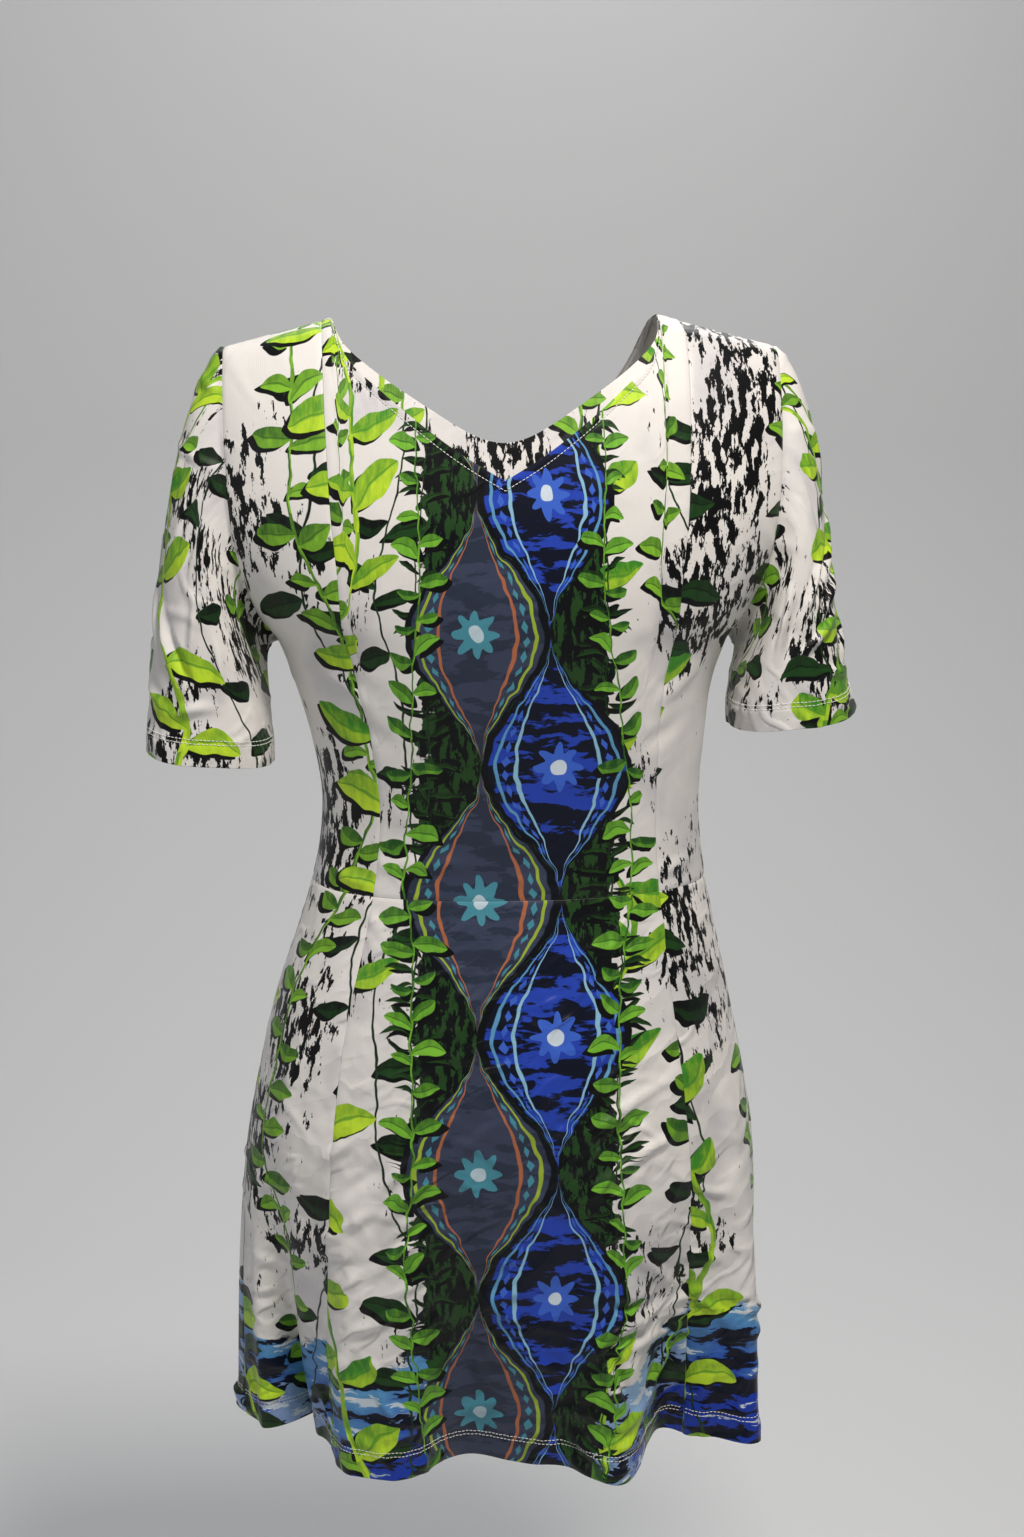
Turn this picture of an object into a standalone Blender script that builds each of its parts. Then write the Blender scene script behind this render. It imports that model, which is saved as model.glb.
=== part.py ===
"""Short-sleeved fit-and-flare dress in printed jersey, in the hollow form in which it is worn.

Metres, +Z up. The back of the dress faces -Y, the front faces +Y and +X is the wearer's right.
The origin lies midway between the shoulders, at the height where the neck starts.
Every panel is a wall of cloth lofted through the sections of one general figure.
"""

from collections import namedtuple
from math import asin, cos, degrees, pi, radians, sin

import bmesh
import bpy
from mathutils import Vector

# Driving sizes. A seam strip is the narrow column of points beside a seam; ROUNDNESS is the
# power of the oval sections; the neck stands NECK_SHIFT off the middle.
WALL = 0.0012
SEAM_GAP = 0.0003
SEAM_STRIP = 0.003
ROUNDNESS = 2.3
NECK_SHIFT = -0.005
NECK_CORNER = 0.118
FACING_OVERLAP = 0.026
CORE_DROP = 0.10

# Angles round the figure, from the centre back: the side seam, the same just on the front's
# side of it, where the armhole edge takes the front's depth, and the centre front
SIDE = 90.0
PAST_SIDE = 90.001
FRONT = 180.0

# Sections of the figure, from the shoulder ridge down to the hem.
# level: height at the centre; drop: how much lower the side or armhole edge lies;
# half: half the width; shift: sideways lean; back, front: depth behind and before the side line;
# edge_back, edge_front: depth of the armhole edge; turn: how far the section turns towards
# its edge, in degrees; seam: place of the princess seam as a share of the half width.
Section = namedtuple(
    "Section", "level drop half shift back front edge_back edge_front turn seam"
)
FIGURE = [
    Section(0.0310, 0.0510, 0.2000, 0.000, 0.000, 0.000, 0.000, 0.000, 70, 0.650),
    Section(0.0300, 0.0510, 0.2005, 0.000, 0.014, 0.014, 0.008, 0.008, 70, 0.650),
    Section(0.0190, 0.0470, 0.2015, 0.000, 0.042, 0.040, 0.021, 0.020, 68, 0.648),
    Section(-0.020, 0.0380, 0.2020, 0.000, 0.070, 0.066, 0.036, 0.034, 66, 0.645),
    Section(-0.070, 0.0270, 0.2010, 0.000, 0.090, 0.088, 0.048, 0.043, 64, 0.642),
    Section(-0.125, 0.0160, 0.1980, 0.000, 0.103, 0.102, 0.054, 0.046, 66, 0.640),
    Section(-0.175, 0.0080, 0.1900, 0.000, 0.108, 0.113, 0.046, 0.040, 75, 0.645),
    Section(-0.210, 0.0030, 0.1790, 0.000, 0.108, 0.119, 0.027, 0.024, 84, 0.672),
    Section(-0.235, 0.0000, 0.1660, 0.001, 0.106, 0.121, 0.000, 0.000, 90, 0.695),
    Section(-0.268, 0.0000, 0.1550, 0.002, 0.102, 0.120, 0.000, 0.000, 90, 0.700),
    Section(-0.305, 0.0000, 0.1475, 0.005, 0.097, 0.114, 0.000, 0.000, 90, 0.705),
    Section(-0.345, 0.0000, 0.1425, 0.007, 0.092, 0.105, 0.000, 0.000, 90, 0.710),
    Section(-0.380, 0.0000, 0.1435, 0.007, 0.089, 0.100, 0.000, 0.000, 90, 0.712),
    Section(-0.415, 0.0000, 0.1490, 0.006, 0.089, 0.101, 0.000, 0.000, 90, 0.710),
    Section(-0.455, 0.0000, 0.1590, 0.004, 0.097, 0.107, 0.000, 0.000, 90, 0.705),
    Section(-0.500, 0.0000, 0.1715, 0.001, 0.107, 0.113, 0.000, 0.000, 90, 0.700),
    Section(-0.550, 0.0000, 0.1830, 0.000, 0.116, 0.117, 0.000, 0.000, 90, 0.695),
    Section(-0.610, 0.0000, 0.1935, 0.000, 0.121, 0.119, 0.000, 0.000, 90, 0.690),
    Section(-0.670, 0.0000, 0.1975, 0.000, 0.120, 0.117, 0.000, 0.000, 90, 0.690),
    Section(-0.730, 0.0000, 0.1980, 0.000, 0.116, 0.114, 0.000, 0.000, 90, 0.700),
    Section(-0.790, 0.0000, 0.1960, 0.000, 0.111, 0.111, 0.000, 0.000, 90, 0.715),
    Section(-0.850, 0.0000, 0.1930, 0.000, 0.106, 0.108, 0.000, 0.000, 90, 0.730),
]
RIDGE = 0
UNDERARM = 8
WAIST = 13
HEM = len(FIGURE) - 1

# Places down the figure, counted in sections, at which each kind of panel has a row of points,
# and the columns of each panel; GORE_STEP: degrees between the columns of a gore
ARMHOLE_PLACES = [0, 0.2, 0.6, 1, 1.5, 2, 2.5, 3, 3.6, 4.3, 5, 5.7, 6.3, 6.8, 7.3, 7.7, UNDERARM]
BODICE_PLACES = [*ARMHOLE_PLACES, *range(UNDERARM + 1, WAIST + 1)]
SKIRT_PLACES = [WAIST, WAIST + 0.1, *range(WAIST + 1, HEM + 1)]
SIDE_COLUMNS = 4
CENTRE_COLUMNS = 16
GORE_STEP = 4.0

# Flutes of the skirt. angle: round from the centre back towards +X; width: half the spread,
# in degrees; depth: outwards at the hem; start: height at which the flute begins.
Flute = namedtuple("Flute", "angle width depth start")
FLUTES = [
    Flute(-97, 15, 0.018, -0.56),
    Flute(-64, 14, -0.062, -0.60),
    Flute(-50, 15, -0.028, -0.60),
    Flute(-34, 12, 0.022, -0.56),
    Flute(-23, 11, 0.022, -0.57),
    Flute(-7, 12, -0.022, -0.60),
    Flute(19, 12, 0.042, -0.60),
    Flute(38, 13, -0.034, -0.62),
    Flute(62, 12, 0.034, -0.55),
    Flute(85, 12, -0.008, -0.66),
    Flute(108, 14, 0.024, -0.58),
    Flute(129, 13, -0.028, -0.62),
    Flute(150, 14, 0.034, -0.56),
    Flute(171, 15, -0.024, -0.62),
    Flute(193, 14, 0.030, -0.58),
    Flute(213, 13, -0.026, -0.64),
    Flute(233, 14, 0.032, -0.55),
    Flute(250, 11, -0.020, -0.66),
]
# FLUTE_SPREAD: how far a flute opens sideways as well; FLUTE_GROWTH: how late it deepens;
# the probes are the steps at which slopes of the surface are taken
FLUTE_SPREAD = 0.5
PROBE_ANGLE = 0.5
PROBE_PLACE = 0.1
FLUTE_GROWTH = 1.3

# Neck edges: half width against height, from the centre out to the shoulder seam
NeckPoint = namedtuple("NeckPoint", "half height")
BACK_V = [
    NeckPoint(0.0000, -0.110),
    NeckPoint(0.0270, -0.094),
    NeckPoint(0.0560, -0.073),
    NeckPoint(0.0850, -0.049),
    NeckPoint(0.1080, -0.027),
    NeckPoint(NECK_CORNER, 0.001),
]
FACING_EDGE = [
    NeckPoint(0.0000, -0.084),
    NeckPoint(0.0150, -0.081),
    NeckPoint(0.0350, -0.071),
    NeckPoint(0.0750, -0.045),
    NeckPoint(0.0980, -0.028),
    NeckPoint(0.1120, -0.014),
    NeckPoint(NECK_CORNER, 0.001),
]
FRONT_SCOOP = [
    NeckPoint(0.0000, -0.105),
    NeckPoint(0.0300, -0.101),
    NeckPoint(0.0600, -0.086),
    NeckPoint(0.0850, -0.064),
    NeckPoint(0.1050, -0.034),
    NeckPoint(NECK_CORNER, 0.001),
]
# How high and how far to each side of the body the cutters reach
NECK_CUT_TOP = 0.060
CUTTER_REACH = 0.200

# Sleeves. side: -1 for -X, 1 for +X; height, outer, inner: the hem's place;
# rise: how much higher its outer edge lies; back, front: depth of the hem opening.
Sleeve = namedtuple("Sleeve", "name side height outer inner rise back front")
SLEEVES = [
    Sleeve("sleeve_left", -1, -0.323, 0.264, 0.171, 0.010, 0.060, 0.050),
    Sleeve("sleeve_right", 1, -0.302, 0.263, 0.169, 0.012, 0.060, 0.050),
]
SLEEVE_STEPS = [0, 0.06, 0.14, 0.26, 0.40, 0.55, 0.70, 0.85, 1]

# How the cloth of a sleeve leaves the armhole and comes down to its hem
Fall = namedtuple("Fall", "reach drop tuck lift")
CAP = Fall(reach=0.035, drop=0.034, tuck=0.008, lift=0.122)
ARMPIT = Fall(reach=0.014, drop=0.002, tuck=0.002, lift=0.040)
ELBOW_FULLNESS = 0.010
SLEEVE_ROUNDNESS = 2.7

Finish = namedtuple("Finish", "name colour roughness")
PRINTED_JERSEY = Finish("printed viscose jersey", (0.74, 0.72, 0.70, 1.0), 0.55)

for leftover in list(bpy.data.objects):
    bpy.data.objects.remove(leftover)
DRESS = bpy.data.collections.new("fit_and_flare_dress")
CUTTERS = bpy.data.collections.new("cutters")
for group in (DRESS, CUTTERS):
    bpy.context.scene.collection.children.link(group)


# The figure -------------------------------------------------------------------------------

def between(rows, place):
    """Smooth curve through the rows of a table, read at a place counted in rows."""
    first = min(max(int(place), 0), len(rows) - 2)
    part = place - first
    before = rows[max(first - 1, 0)]
    after = rows[min(first + 2, len(rows) - 1)]
    values = []
    for a, b, c, d in zip(before, rows[first], rows[first + 1], after):
        slope_start = (c - a) / 2
        slope_end = (d - b) / 2
        cubic = 2 * b - 2 * c + slope_start + slope_end
        square = 3 * c - 3 * b - 2 * slope_start - slope_end
        values.append(((cubic * part + square) * part + slope_start) * part + b)
    return type(rows[0])(*values)


def figure_at(place):
    """Section at a place; below the armhole the side edge stays on the side seam."""
    row = between(FIGURE, place)
    return row._replace(
        drop=max(row.drop, 0.0),
        edge_back=max(row.edge_back, 0.0),
        edge_front=max(row.edge_front, 0.0),
        turn=min(row.turn, SIDE),
    )


def bump(offset):
    """Soft hump: 1 at the middle, 0 at a distance of 1."""
    return cos(offset * pi / 2) ** 2 if abs(offset) < 1 else 0.0


def flute_depth(angle, level):
    """How far the flutes push the skirt outwards."""
    depth = 0.0
    for flute in FLUTES:
        if level < flute.start:
            away = (angle - flute.angle + 180) % 360 - 180
            fall = (flute.start - level) / (flute.start - FIGURE[HEM].level)
            depth += flute.depth * bump(away / flute.width) * fall ** FLUTE_GROWTH
    return depth


def section_point(angle, place):
    """Point of a smooth section, before the flutes."""
    row = figure_at(place)
    angle = (angle + 180) % 360 - 180
    side = -1 if angle < 0 else 1
    behind = abs(angle) <= SIDE
    quarter = abs(angle) if behind else FRONT - abs(angle)
    power = 2 / ROUNDNESS
    turn = radians(row.turn)
    along = turn * quarter / SIDE
    across = (sin(along) / sin(turn)) ** power
    edge_round = max(cos(turn), 0.0) ** power
    toward = (max(cos(along), 0.0) ** power - edge_round) / (1 - edge_round)
    reach, edge = (row.back, row.edge_back) if behind else (row.front, row.edge_front)
    depth = edge + (reach - edge) * toward
    return Vector((
        row.shift + side * row.half * across,
        -depth if behind else depth,
        row.level - row.drop * across,
    ))


def body_point(angle, place):
    """Point of the outer cloth: angle round from the centre back, place down the figure."""
    point = section_point(angle, place)
    depth = flute_depth(angle, point.z)
    if depth:
        along = section_point(angle + PROBE_ANGLE, place)
        along -= section_point(angle - PROBE_ANGLE, place)
        point += Vector((along.y * FLUTE_SPREAD, -along.x, 0)).normalized() * depth
    return point


def angle_across(place, across):
    """Angle at which a section reaches a share of its half width."""
    row = figure_at(place)
    along = asin(min(across ** (ROUNDNESS / 2), 1.0) * sin(radians(row.turn)))
    return degrees(along) * SIDE / row.turn


def seam_angle(place):
    """Angle of the princess seam at a place down the figure."""
    return angle_across(place, figure_at(place).seam)


def outward(angle, place):
    """Direction that faces out of the cloth."""
    point = body_point(angle, place)
    step = PROBE_ANGLE if angle > 0 else -PROBE_ANGLE
    inner = angle - step if abs(angle) <= SIDE else angle + step
    across = body_point(inner, place) - point
    down = body_point(angle, place + PROBE_PLACE) - point
    normal = down.cross(across).normalized()
    row = figure_at(place)
    away = point - Vector((row.shift, 0, row.level - CORE_DROP))
    return normal if normal.dot(away) > 0 else -normal


# Walls of cloth ---------------------------------------------------------------------------

def material_for(finish):
    """Material of one finish, made once."""
    material = bpy.data.materials.get(finish.name)
    if material is None:
        material = bpy.data.materials.new(finish.name)
        material.use_nodes = True
        shader = material.node_tree.nodes["Principled BSDF"]
        shader.inputs["Base Color"].default_value = finish.colour
        shader.inputs["Roughness"].default_value = finish.roughness
        material.diffuse_color = finish.colour
    return material


def cloth(name, grid, closed=False, inset=0.0):
    """Wall of cloth on a grid of outer points, row below row, thickened to the inside.

    With an inset it is an inner layer, that far inside the points.
    """
    mesh = bpy.data.meshes.new(name)
    shape = bmesh.new()
    rows = [[shape.verts.new(point) for point in row] for row in grid]
    for upper, lower in zip(rows, rows[1:]):
        for index in range(len(upper) if closed else len(upper) - 1):
            after = (index + 1) % len(upper)
            shape.faces.new((upper[index], lower[index], lower[after], upper[after]))
    shape.to_mesh(mesh)
    shape.free()
    mesh.shade_smooth()
    mesh.materials.append(material_for(PRINTED_JERSEY))
    piece = bpy.data.objects.new(name, mesh)
    DRESS.objects.link(piece)
    wall = piece.modifiers.new("wall", "SOLIDIFY")
    wall.thickness = WALL
    wall.offset = -1 - 2 * inset / WALL
    return piece


def trim_rows(grid):
    """Draw the first and last rows in by half the gap at a seam."""
    for edge, inner in ((grid[0], grid[1]), (grid[-1], grid[-2])):
        for index, point in enumerate(edge):
            edge[index] = point + (inner[index] - point).normalized() * SEAM_GAP / 2


def trim_columns(grid):
    """Draw the first and last columns in by half the gap at a seam."""
    for row in grid:
        row[0] = row[0] + (row[1] - row[0]).normalized() * SEAM_GAP / 2
        row[-1] = row[-1] + (row[-2] - row[-1]).normalized() * SEAM_GAP / 2


def with_strips(shares, width):
    """Shares across a panel, with a narrow strip of seam allowance inside each end."""
    strip = SEAM_STRIP / width
    inner = [share for share in shares if 2 * strip < share < 1 - 2 * strip]
    return [0.0, strip, *inner, 1 - strip, 1.0]


def even_shares(count):
    """Shares that divide a panel evenly, without its two edges."""
    return [step / count for step in range(1, count)]


def panel_grid(left, right, shares, places):
    """Outer points of a panel between two seams, each a function from a place to its angle.

    Its columns stand at the given shares of the way from seam to seam.
    """
    grid = []
    for place in places:
        start, end = left(place), right(place)
        grid.append([body_point(start + (end - start) * share, place) for share in shares])
    trim_rows(grid)
    trim_columns(grid)
    return grid


# Seams, as functions from a place to an angle ---------------------------------------------

def back_left_seam(place):
    return -seam_angle(place)


def back_right_seam(place):
    return seam_angle(place)


def front_right_seam(place):
    return FRONT - seam_angle(place)


def front_left_seam(place):
    return FRONT + seam_angle(place)


def back_right_side(place):
    return SIDE


def back_left_side(place):
    return -SIDE


def front_right_side(place):
    return PAST_SIDE


def front_left_side(place):
    return 2 * FRONT - PAST_SIDE


# Bodice -----------------------------------------------------------------------------------

def prism(name, outline):
    """Cutter: an outline of widths and heights about the neck's middle, pulled through the body."""
    mesh = bpy.data.meshes.new(name)
    shape = bmesh.new()
    corners = [shape.verts.new((NECK_SHIFT + x, -CUTTER_REACH, z)) for x, z in outline]
    face = shape.faces.new(corners)
    pulled = bmesh.ops.extrude_face_region(shape, geom=[face])["geom"]
    far = [item for item in pulled if isinstance(item, bmesh.types.BMVert)]
    bmesh.ops.translate(shape, verts=far, vec=(0, 2 * CUTTER_REACH, 0))
    bmesh.ops.recalc_face_normals(shape, faces=shape.faces)
    shape.to_mesh(mesh)
    shape.free()
    cutter = bpy.data.objects.new(name, mesh)
    cutter.hide_render = True
    cutter.display_type = "WIRE"
    CUTTERS.objects.link(cutter)
    return cutter


def cut_with(piece, label, cutter, operation):
    """Boolean of a piece with a cutter."""
    cut = piece.modifiers.new(label, "BOOLEAN")
    cut.operation = operation
    cut.solver = "EXACT"
    cut.object = cutter


def neck_opening(edge):
    """Outline of a neck opening: its edge below, open above the shoulders."""
    left = [(-point.half, point.height) for point in reversed(edge)]
    right = [(point.half, point.height) for point in edge[1:]]
    return left + right + [(NECK_CORNER, NECK_CUT_TOP), (-NECK_CORNER, NECK_CUT_TOP)]


def centre_grid(left, right):
    """Outer points of a centre panel, up to the ridge of the shoulders."""
    width = 2 * FIGURE[RIDGE].half * FIGURE[RIDGE].seam
    return panel_grid(left, right, with_strips(even_shares(CENTRE_COLUMNS), width), BODICE_PLACES)


def back_centre_grid():
    """Outer points of the centre back panel, which its facing shares."""
    return centre_grid(back_left_seam, back_right_seam)


def bodice_centre(name, grid, edge):
    """Centre panel of the bodice, from the neck and shoulder seams down to the waist seam."""
    piece = cloth(name, grid)
    cut_with(piece, "neck", prism(name + "_neck", neck_opening(edge)), "DIFFERENCE")
    return piece


def bodice_side(name, left, right):
    """Side panel of the bodice, from the shoulder seam and armhole down to the waist seam."""
    shares = with_strips(even_shares(SIDE_COLUMNS), FIGURE[WAIST].half / 2)
    return cloth(name, panel_grid(left, right, shares, BODICE_PLACES))


def facing_band():
    """Outline of the facing: its own upper edge, and the V moved out below the opening."""
    upper = [Vector((point.half, point.height)) for point in FACING_EDGE]
    lower = []
    for index, point in enumerate(BACK_V):
        start = BACK_V[max(index - 1, 0)]
        end = BACK_V[min(index + 1, len(BACK_V) - 1)]
        slope = Vector((end.half - start.half, end.height - start.height))
        fall = Vector((slope.y, -slope.x)).normalized() if index else Vector((0, -1))
        lower.append(Vector((point.half, point.height)) + fall * FACING_OVERLAP)
    half = lower + upper[::-1]
    mirrored = [Vector((-point.x, point.y)) for point in reversed(half)]
    return half[:-1] + mirrored[:-1]


def neck_facing(name):
    """Inner layer of the back neck, on the back panel's own points: it shows above the V."""
    piece = cloth(name, back_centre_grid(), inset=WALL + SEAM_GAP)
    band = prism(name + "_band", facing_band())
    cut_with(piece, "band", band, "INTERSECT")
    return piece


# Sleeves ----------------------------------------------------------------------------------

def flattened(value):
    """Sine or cosine of a hem opening, squared off a little as a flat-hanging sleeve is."""
    return abs(value) ** (2 / SLEEVE_ROUNDNESS) * (1 if value > 0 else -1)


def armhole(side):
    """Ring of angles and places round an armhole, from the underarm over the shoulder and back."""
    behind = [(side * SIDE, place) for place in reversed(ARMHOLE_PLACES)]
    before = [(side * PAST_SIDE, place) for place in ARMHOLE_PLACES[1:-1]]
    ring = behind + before
    if side < 0:
        ring = [ring[0]] + ring[:0:-1]
    return ring


def sleeve(spec):
    """Set-in sleeve: leaves the armhole flush with the bodice, then falls to its hem."""
    ring = armhole(spec.side)
    starts = [body_point(angle, place) for angle, place in ring]
    count = len(ring)
    top = min(range(count), key=lambda index: ring[index][1])
    steps = [(starts[(index + 1) % count] - starts[index]).length for index in range(count)]
    centre = (spec.outer + spec.inner) / 2
    half = (spec.outer - spec.inner) / 2
    grid = [[] for _ in range(len(SLEEVE_STEPS) + 1)]
    before_top = sum(steps[:top])
    after_top = sum(steps[top:])
    walked = 0.0
    for index, (angle, place) in enumerate(ring):
        if index <= top:
            turn = pi - pi * walked / before_top
            back = spec.side > 0
        else:
            turn = pi * (walked - before_top) / after_top
            back = spec.side < 0
        walked += steps[index]
        along = starts[(index + 1) % count] - starts[index - 1]
        flush = along.cross(outward(angle, place)).normalized()
        if flush.dot(Vector((spec.side, 0, 1))) < 0:
            flush = -flush
        start = starts[index] + flush * SEAM_GAP / 2
        leave = starts[index] + flush * SEAM_STRIP
        high = (1 + cos(turn)) / 2
        depth = (-spec.back if back else spec.front) * flattened(sin(turn))
        end = Vector((
            spec.side * (centre + half * flattened(cos(turn))),
            depth,
            spec.height + spec.rise * high,
        ))
        reach, drop, tuck, lift = (low + (up - low) * high for low, up in zip(ARMPIT, CAP))
        full = -ELBOW_FULLNESS if back else ELBOW_FULLNESS
        first = leave + Vector((spec.side * reach, full * sin(turn), -drop))
        second = end + Vector((-spec.side * tuck, full * sin(turn) / 2, lift))
        grid[0].append(start)
        for row, part in zip(grid[1:], SLEEVE_STEPS):
            rest = 1 - part
            row.append(
                leave * rest ** 3 + first * 3 * part * rest ** 2
                + second * 3 * part ** 2 * rest + end * part ** 3
            )
    return cloth(spec.name, grid, closed=True)


# Skirt ------------------------------------------------------------------------------------

def gore(name, left, right):
    """Gore of the skirt, from the waist seam down to the hem."""
    span = right(HEM) - left(HEM)
    shares = with_strips(even_shares(round(span / GORE_STEP)), FIGURE[HEM].half * radians(span))
    return cloth(name, panel_grid(left, right, shares, SKIRT_PLACES))


bodice_centre("bodice_back_centre", back_centre_grid(), BACK_V)
bodice_side("bodice_back_side_right", back_right_seam, back_right_side)
bodice_side("bodice_front_side_right", front_right_side, front_right_seam)
bodice_centre(
    "bodice_front_centre", centre_grid(front_right_seam, front_left_seam), FRONT_SCOOP
)
bodice_side("bodice_front_side_left", front_left_seam, front_left_side)
bodice_side("bodice_back_side_left", back_left_side, back_left_seam)
neck_facing("neck_facing")
for spec in SLEEVES:
    sleeve(spec)
gore("skirt_back_centre", back_left_seam, back_right_seam)
gore("skirt_back_side_right", back_right_seam, back_right_side)
gore("skirt_front_side_right", front_right_side, front_right_seam)
gore("skirt_front_centre", front_right_seam, front_left_seam)
gore("skirt_front_side_left", front_left_seam, front_left_side)
gore("skirt_back_side_left", back_left_side, back_left_seam)
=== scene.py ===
"""Short-sleeved fit-and-flare dress in printed jersey, seen from the back, as it is worn.

Metres, +Z up. The back of the dress faces -Y and +X is the wearer's right. Every sheet of cloth
lies on the form of its solid in the frame and carries the creases, seams and stitches.
"""

from collections import namedtuple
from functools import partial

import bpy
import numpy as np
from math import atan, cos, pi, radians, sin
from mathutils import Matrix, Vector, noise


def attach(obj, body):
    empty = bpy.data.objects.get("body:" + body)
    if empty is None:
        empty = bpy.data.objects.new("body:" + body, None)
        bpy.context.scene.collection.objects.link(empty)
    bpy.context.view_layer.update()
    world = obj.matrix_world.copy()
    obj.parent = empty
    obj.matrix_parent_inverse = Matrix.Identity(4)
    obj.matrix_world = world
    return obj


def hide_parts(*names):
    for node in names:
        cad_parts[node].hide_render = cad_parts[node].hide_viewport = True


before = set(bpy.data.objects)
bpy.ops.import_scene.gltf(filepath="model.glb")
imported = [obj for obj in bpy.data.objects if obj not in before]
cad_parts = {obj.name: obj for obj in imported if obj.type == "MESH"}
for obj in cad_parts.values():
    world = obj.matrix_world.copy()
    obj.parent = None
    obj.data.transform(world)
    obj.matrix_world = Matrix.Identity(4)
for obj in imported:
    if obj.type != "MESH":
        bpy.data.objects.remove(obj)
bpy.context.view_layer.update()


# ==========================================================================================
# The camera, the floor and the light
# A lens at shoulder height, a little to the left of the back and tilted down; a pale studio
# floor that sweeps up into its own backdrop; a soft lamp above, one on the left, one behind.

PICTURE_HEIGHT = 1537
FOCAL_PIXELS = 2432
LONG_SIDE_OF_SENSOR = 36.0
CAMERA_DISTANCE, CAMERA_HEIGHT = 1.80, 0.03
CAMERA_AROUND, CAMERA_TILT = radians(-4.5), radians(-11.45)
AXIS_LEFT_OF_CENTRE = 11


def put(name, data):
    """Object with this data, in the scene."""
    added = bpy.data.objects.new(name, data)
    bpy.context.scene.collection.objects.link(added)
    return added


lens = bpy.data.cameras.new("camera")
lens.sensor_width = LONG_SIDE_OF_SENSOR
lens.lens = LONG_SIDE_OF_SENSOR * FOCAL_PIXELS / PICTURE_HEIGHT
camera = put("camera", lens)
camera.location = (
    CAMERA_DISTANCE * sin(CAMERA_AROUND), -CAMERA_DISTANCE * cos(CAMERA_AROUND), CAMERA_HEIGHT
)
camera.rotation_euler = (
    pi / 2 + CAMERA_TILT, 0, CAMERA_AROUND - atan(AXIS_LEFT_OF_CENTRE / FOCAL_PIXELS)
)
bpy.context.scene.camera = camera


def linear(sheet_hex):
    """Linear colour of an sRGB hex value such as "#E0DCDA"."""
    values = [int(sheet_hex[start:start + 2], 16) / 255 for start in (1, 3, 5)]
    return (*[v / 12.92 if v <= 0.04045 else ((v + 0.055) / 1.055) ** 2.4 for v in values], 1.0)


# What the kind of a node has after its dot, where that isn't an operation
AFTER_DOT = {
    "Mix": "data_type", "TexNoise": "noise_dimensions", "TexWhiteNoise": "noise_dimensions",
    "TexVoronoi": "voronoi_dimensions", "VectorRotate": "rotation_type",
}


def node(tree, kind, *inputs, **settings):
    """Add a node, with its operation or the like after a dot, and its other settings.

    A kind in capitals is the operation of a Math node. The inputs, in order, are linked to a node
    or a socket, set to a value or to the colour of a hex string, or left by None.
    """
    kind, _, choice = ("Math." + kind if kind.isupper() else kind).partition(".")
    added = tree.nodes.new(kind if kind.startswith("Node") else "ShaderNode" + kind)
    if choice:
        settings[AFTER_DOT.get(kind, "operation")] = choice
    for name, value in settings.items():
        setattr(added, name, value)
    for socket, value in zip([socket for socket in added.inputs if socket.enabled], inputs):
        if isinstance(value, str):
            value = linear(value)
        if isinstance(value, bpy.types.Node):
            value = next(output for output in value.outputs if output.enabled)
        if isinstance(value, bpy.types.NodeSocket):
            tree.links.new(value, socket)
        elif value is not None:
            socket.default_value = value
    return added


def new_material(name, finish):
    """Node material, what adds a node to it, and its Principled shader with this finish."""
    material = bpy.data.materials.new(name)
    material.use_nodes = True
    shader = material.node_tree.nodes["Principled BSDF"]
    for socket, value in finish.items():
        shader.inputs[socket].default_value = value
    return material, partial(node, material.node_tree), shader


def put_mesh(name, corners, faces, *materials):
    """Object in the scene with a smooth mesh in these materials."""
    mesh = bpy.data.meshes.new(name)
    mesh.from_pydata(corners, [], faces)
    mesh.shade_smooth()
    for material in materials:
        mesh.materials.append(material)
    return put(name, mesh)


FLOOR_HEIGHT, FLOOR_HALF_WIDTH = -1.36, 5.0
FLOOR_FRONT, FLOOR_BACK = -4.5, 2.6
SWEEP_RADIUS, SWEEP_STEPS = 1.1, 24
BACKDROP_TOP = 3.2

sweep_turns = [pi / 2 * step / SWEEP_STEPS for step in range(SWEEP_STEPS + 1)]
sweep_profile = [(FLOOR_FRONT, FLOOR_HEIGHT)] + [
    (FLOOR_BACK - SWEEP_RADIUS + SWEEP_RADIUS * sin(turn),
     FLOOR_HEIGHT + SWEEP_RADIUS - SWEEP_RADIUS * cos(turn))
    for turn in sweep_turns
] + [(FLOOR_BACK, BACKDROP_TOP)]
# Matt backdrop paper: a pale warm grey with no gloss
paper, _, _ = new_material("backdrop paper", {"Base Color": linear("#E4E5E6"), "Roughness": 0.9})
studio_floor = put_mesh(
    "studio_floor",
    [(x, y, z) for y, z in sweep_profile for x in (-FLOOR_HALF_WIDTH, FLOOR_HALF_WIDTH)],
    [(2 * i, 2 * i + 1, 2 * i + 3, 2 * i + 2) for i in range(len(sweep_profile) - 1)],
    paper,
)

Lamp = namedtuple("Lamp", "name place size watts colour")
LAMPS = [
    Lamp("key_softbox", (0.30, -1.15, 1.60), 0.5, 48, "#FFF9F2"),
    Lamp("fill_softbox", (-2.2, -1.4, 0.6), 1.2, 7, "#F4F7FF"),
    Lamp("back_softbox", (0.4, 2.0, 1.7), 1.4, 30, "#FFFFFF"),
]
LAMPS_AIM = Vector((0, 0, -0.25))
ROOM_LIGHT = 0.19
for lamp in LAMPS:
    light = bpy.data.lights.new(lamp.name, "AREA")
    light.size, light.energy, light.color = lamp.size, lamp.watts, linear(lamp.colour)[:3]
    stand = put(lamp.name, light)
    stand.location = lamp.place
    stand.rotation_euler = (LAMPS_AIM - stand.location).to_track_quat("-Z", "Y").to_euler()
bpy.context.scene.view_settings.view_transform = "Standard"
room = bpy.data.worlds.new("studio")
room.use_nodes = True
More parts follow.
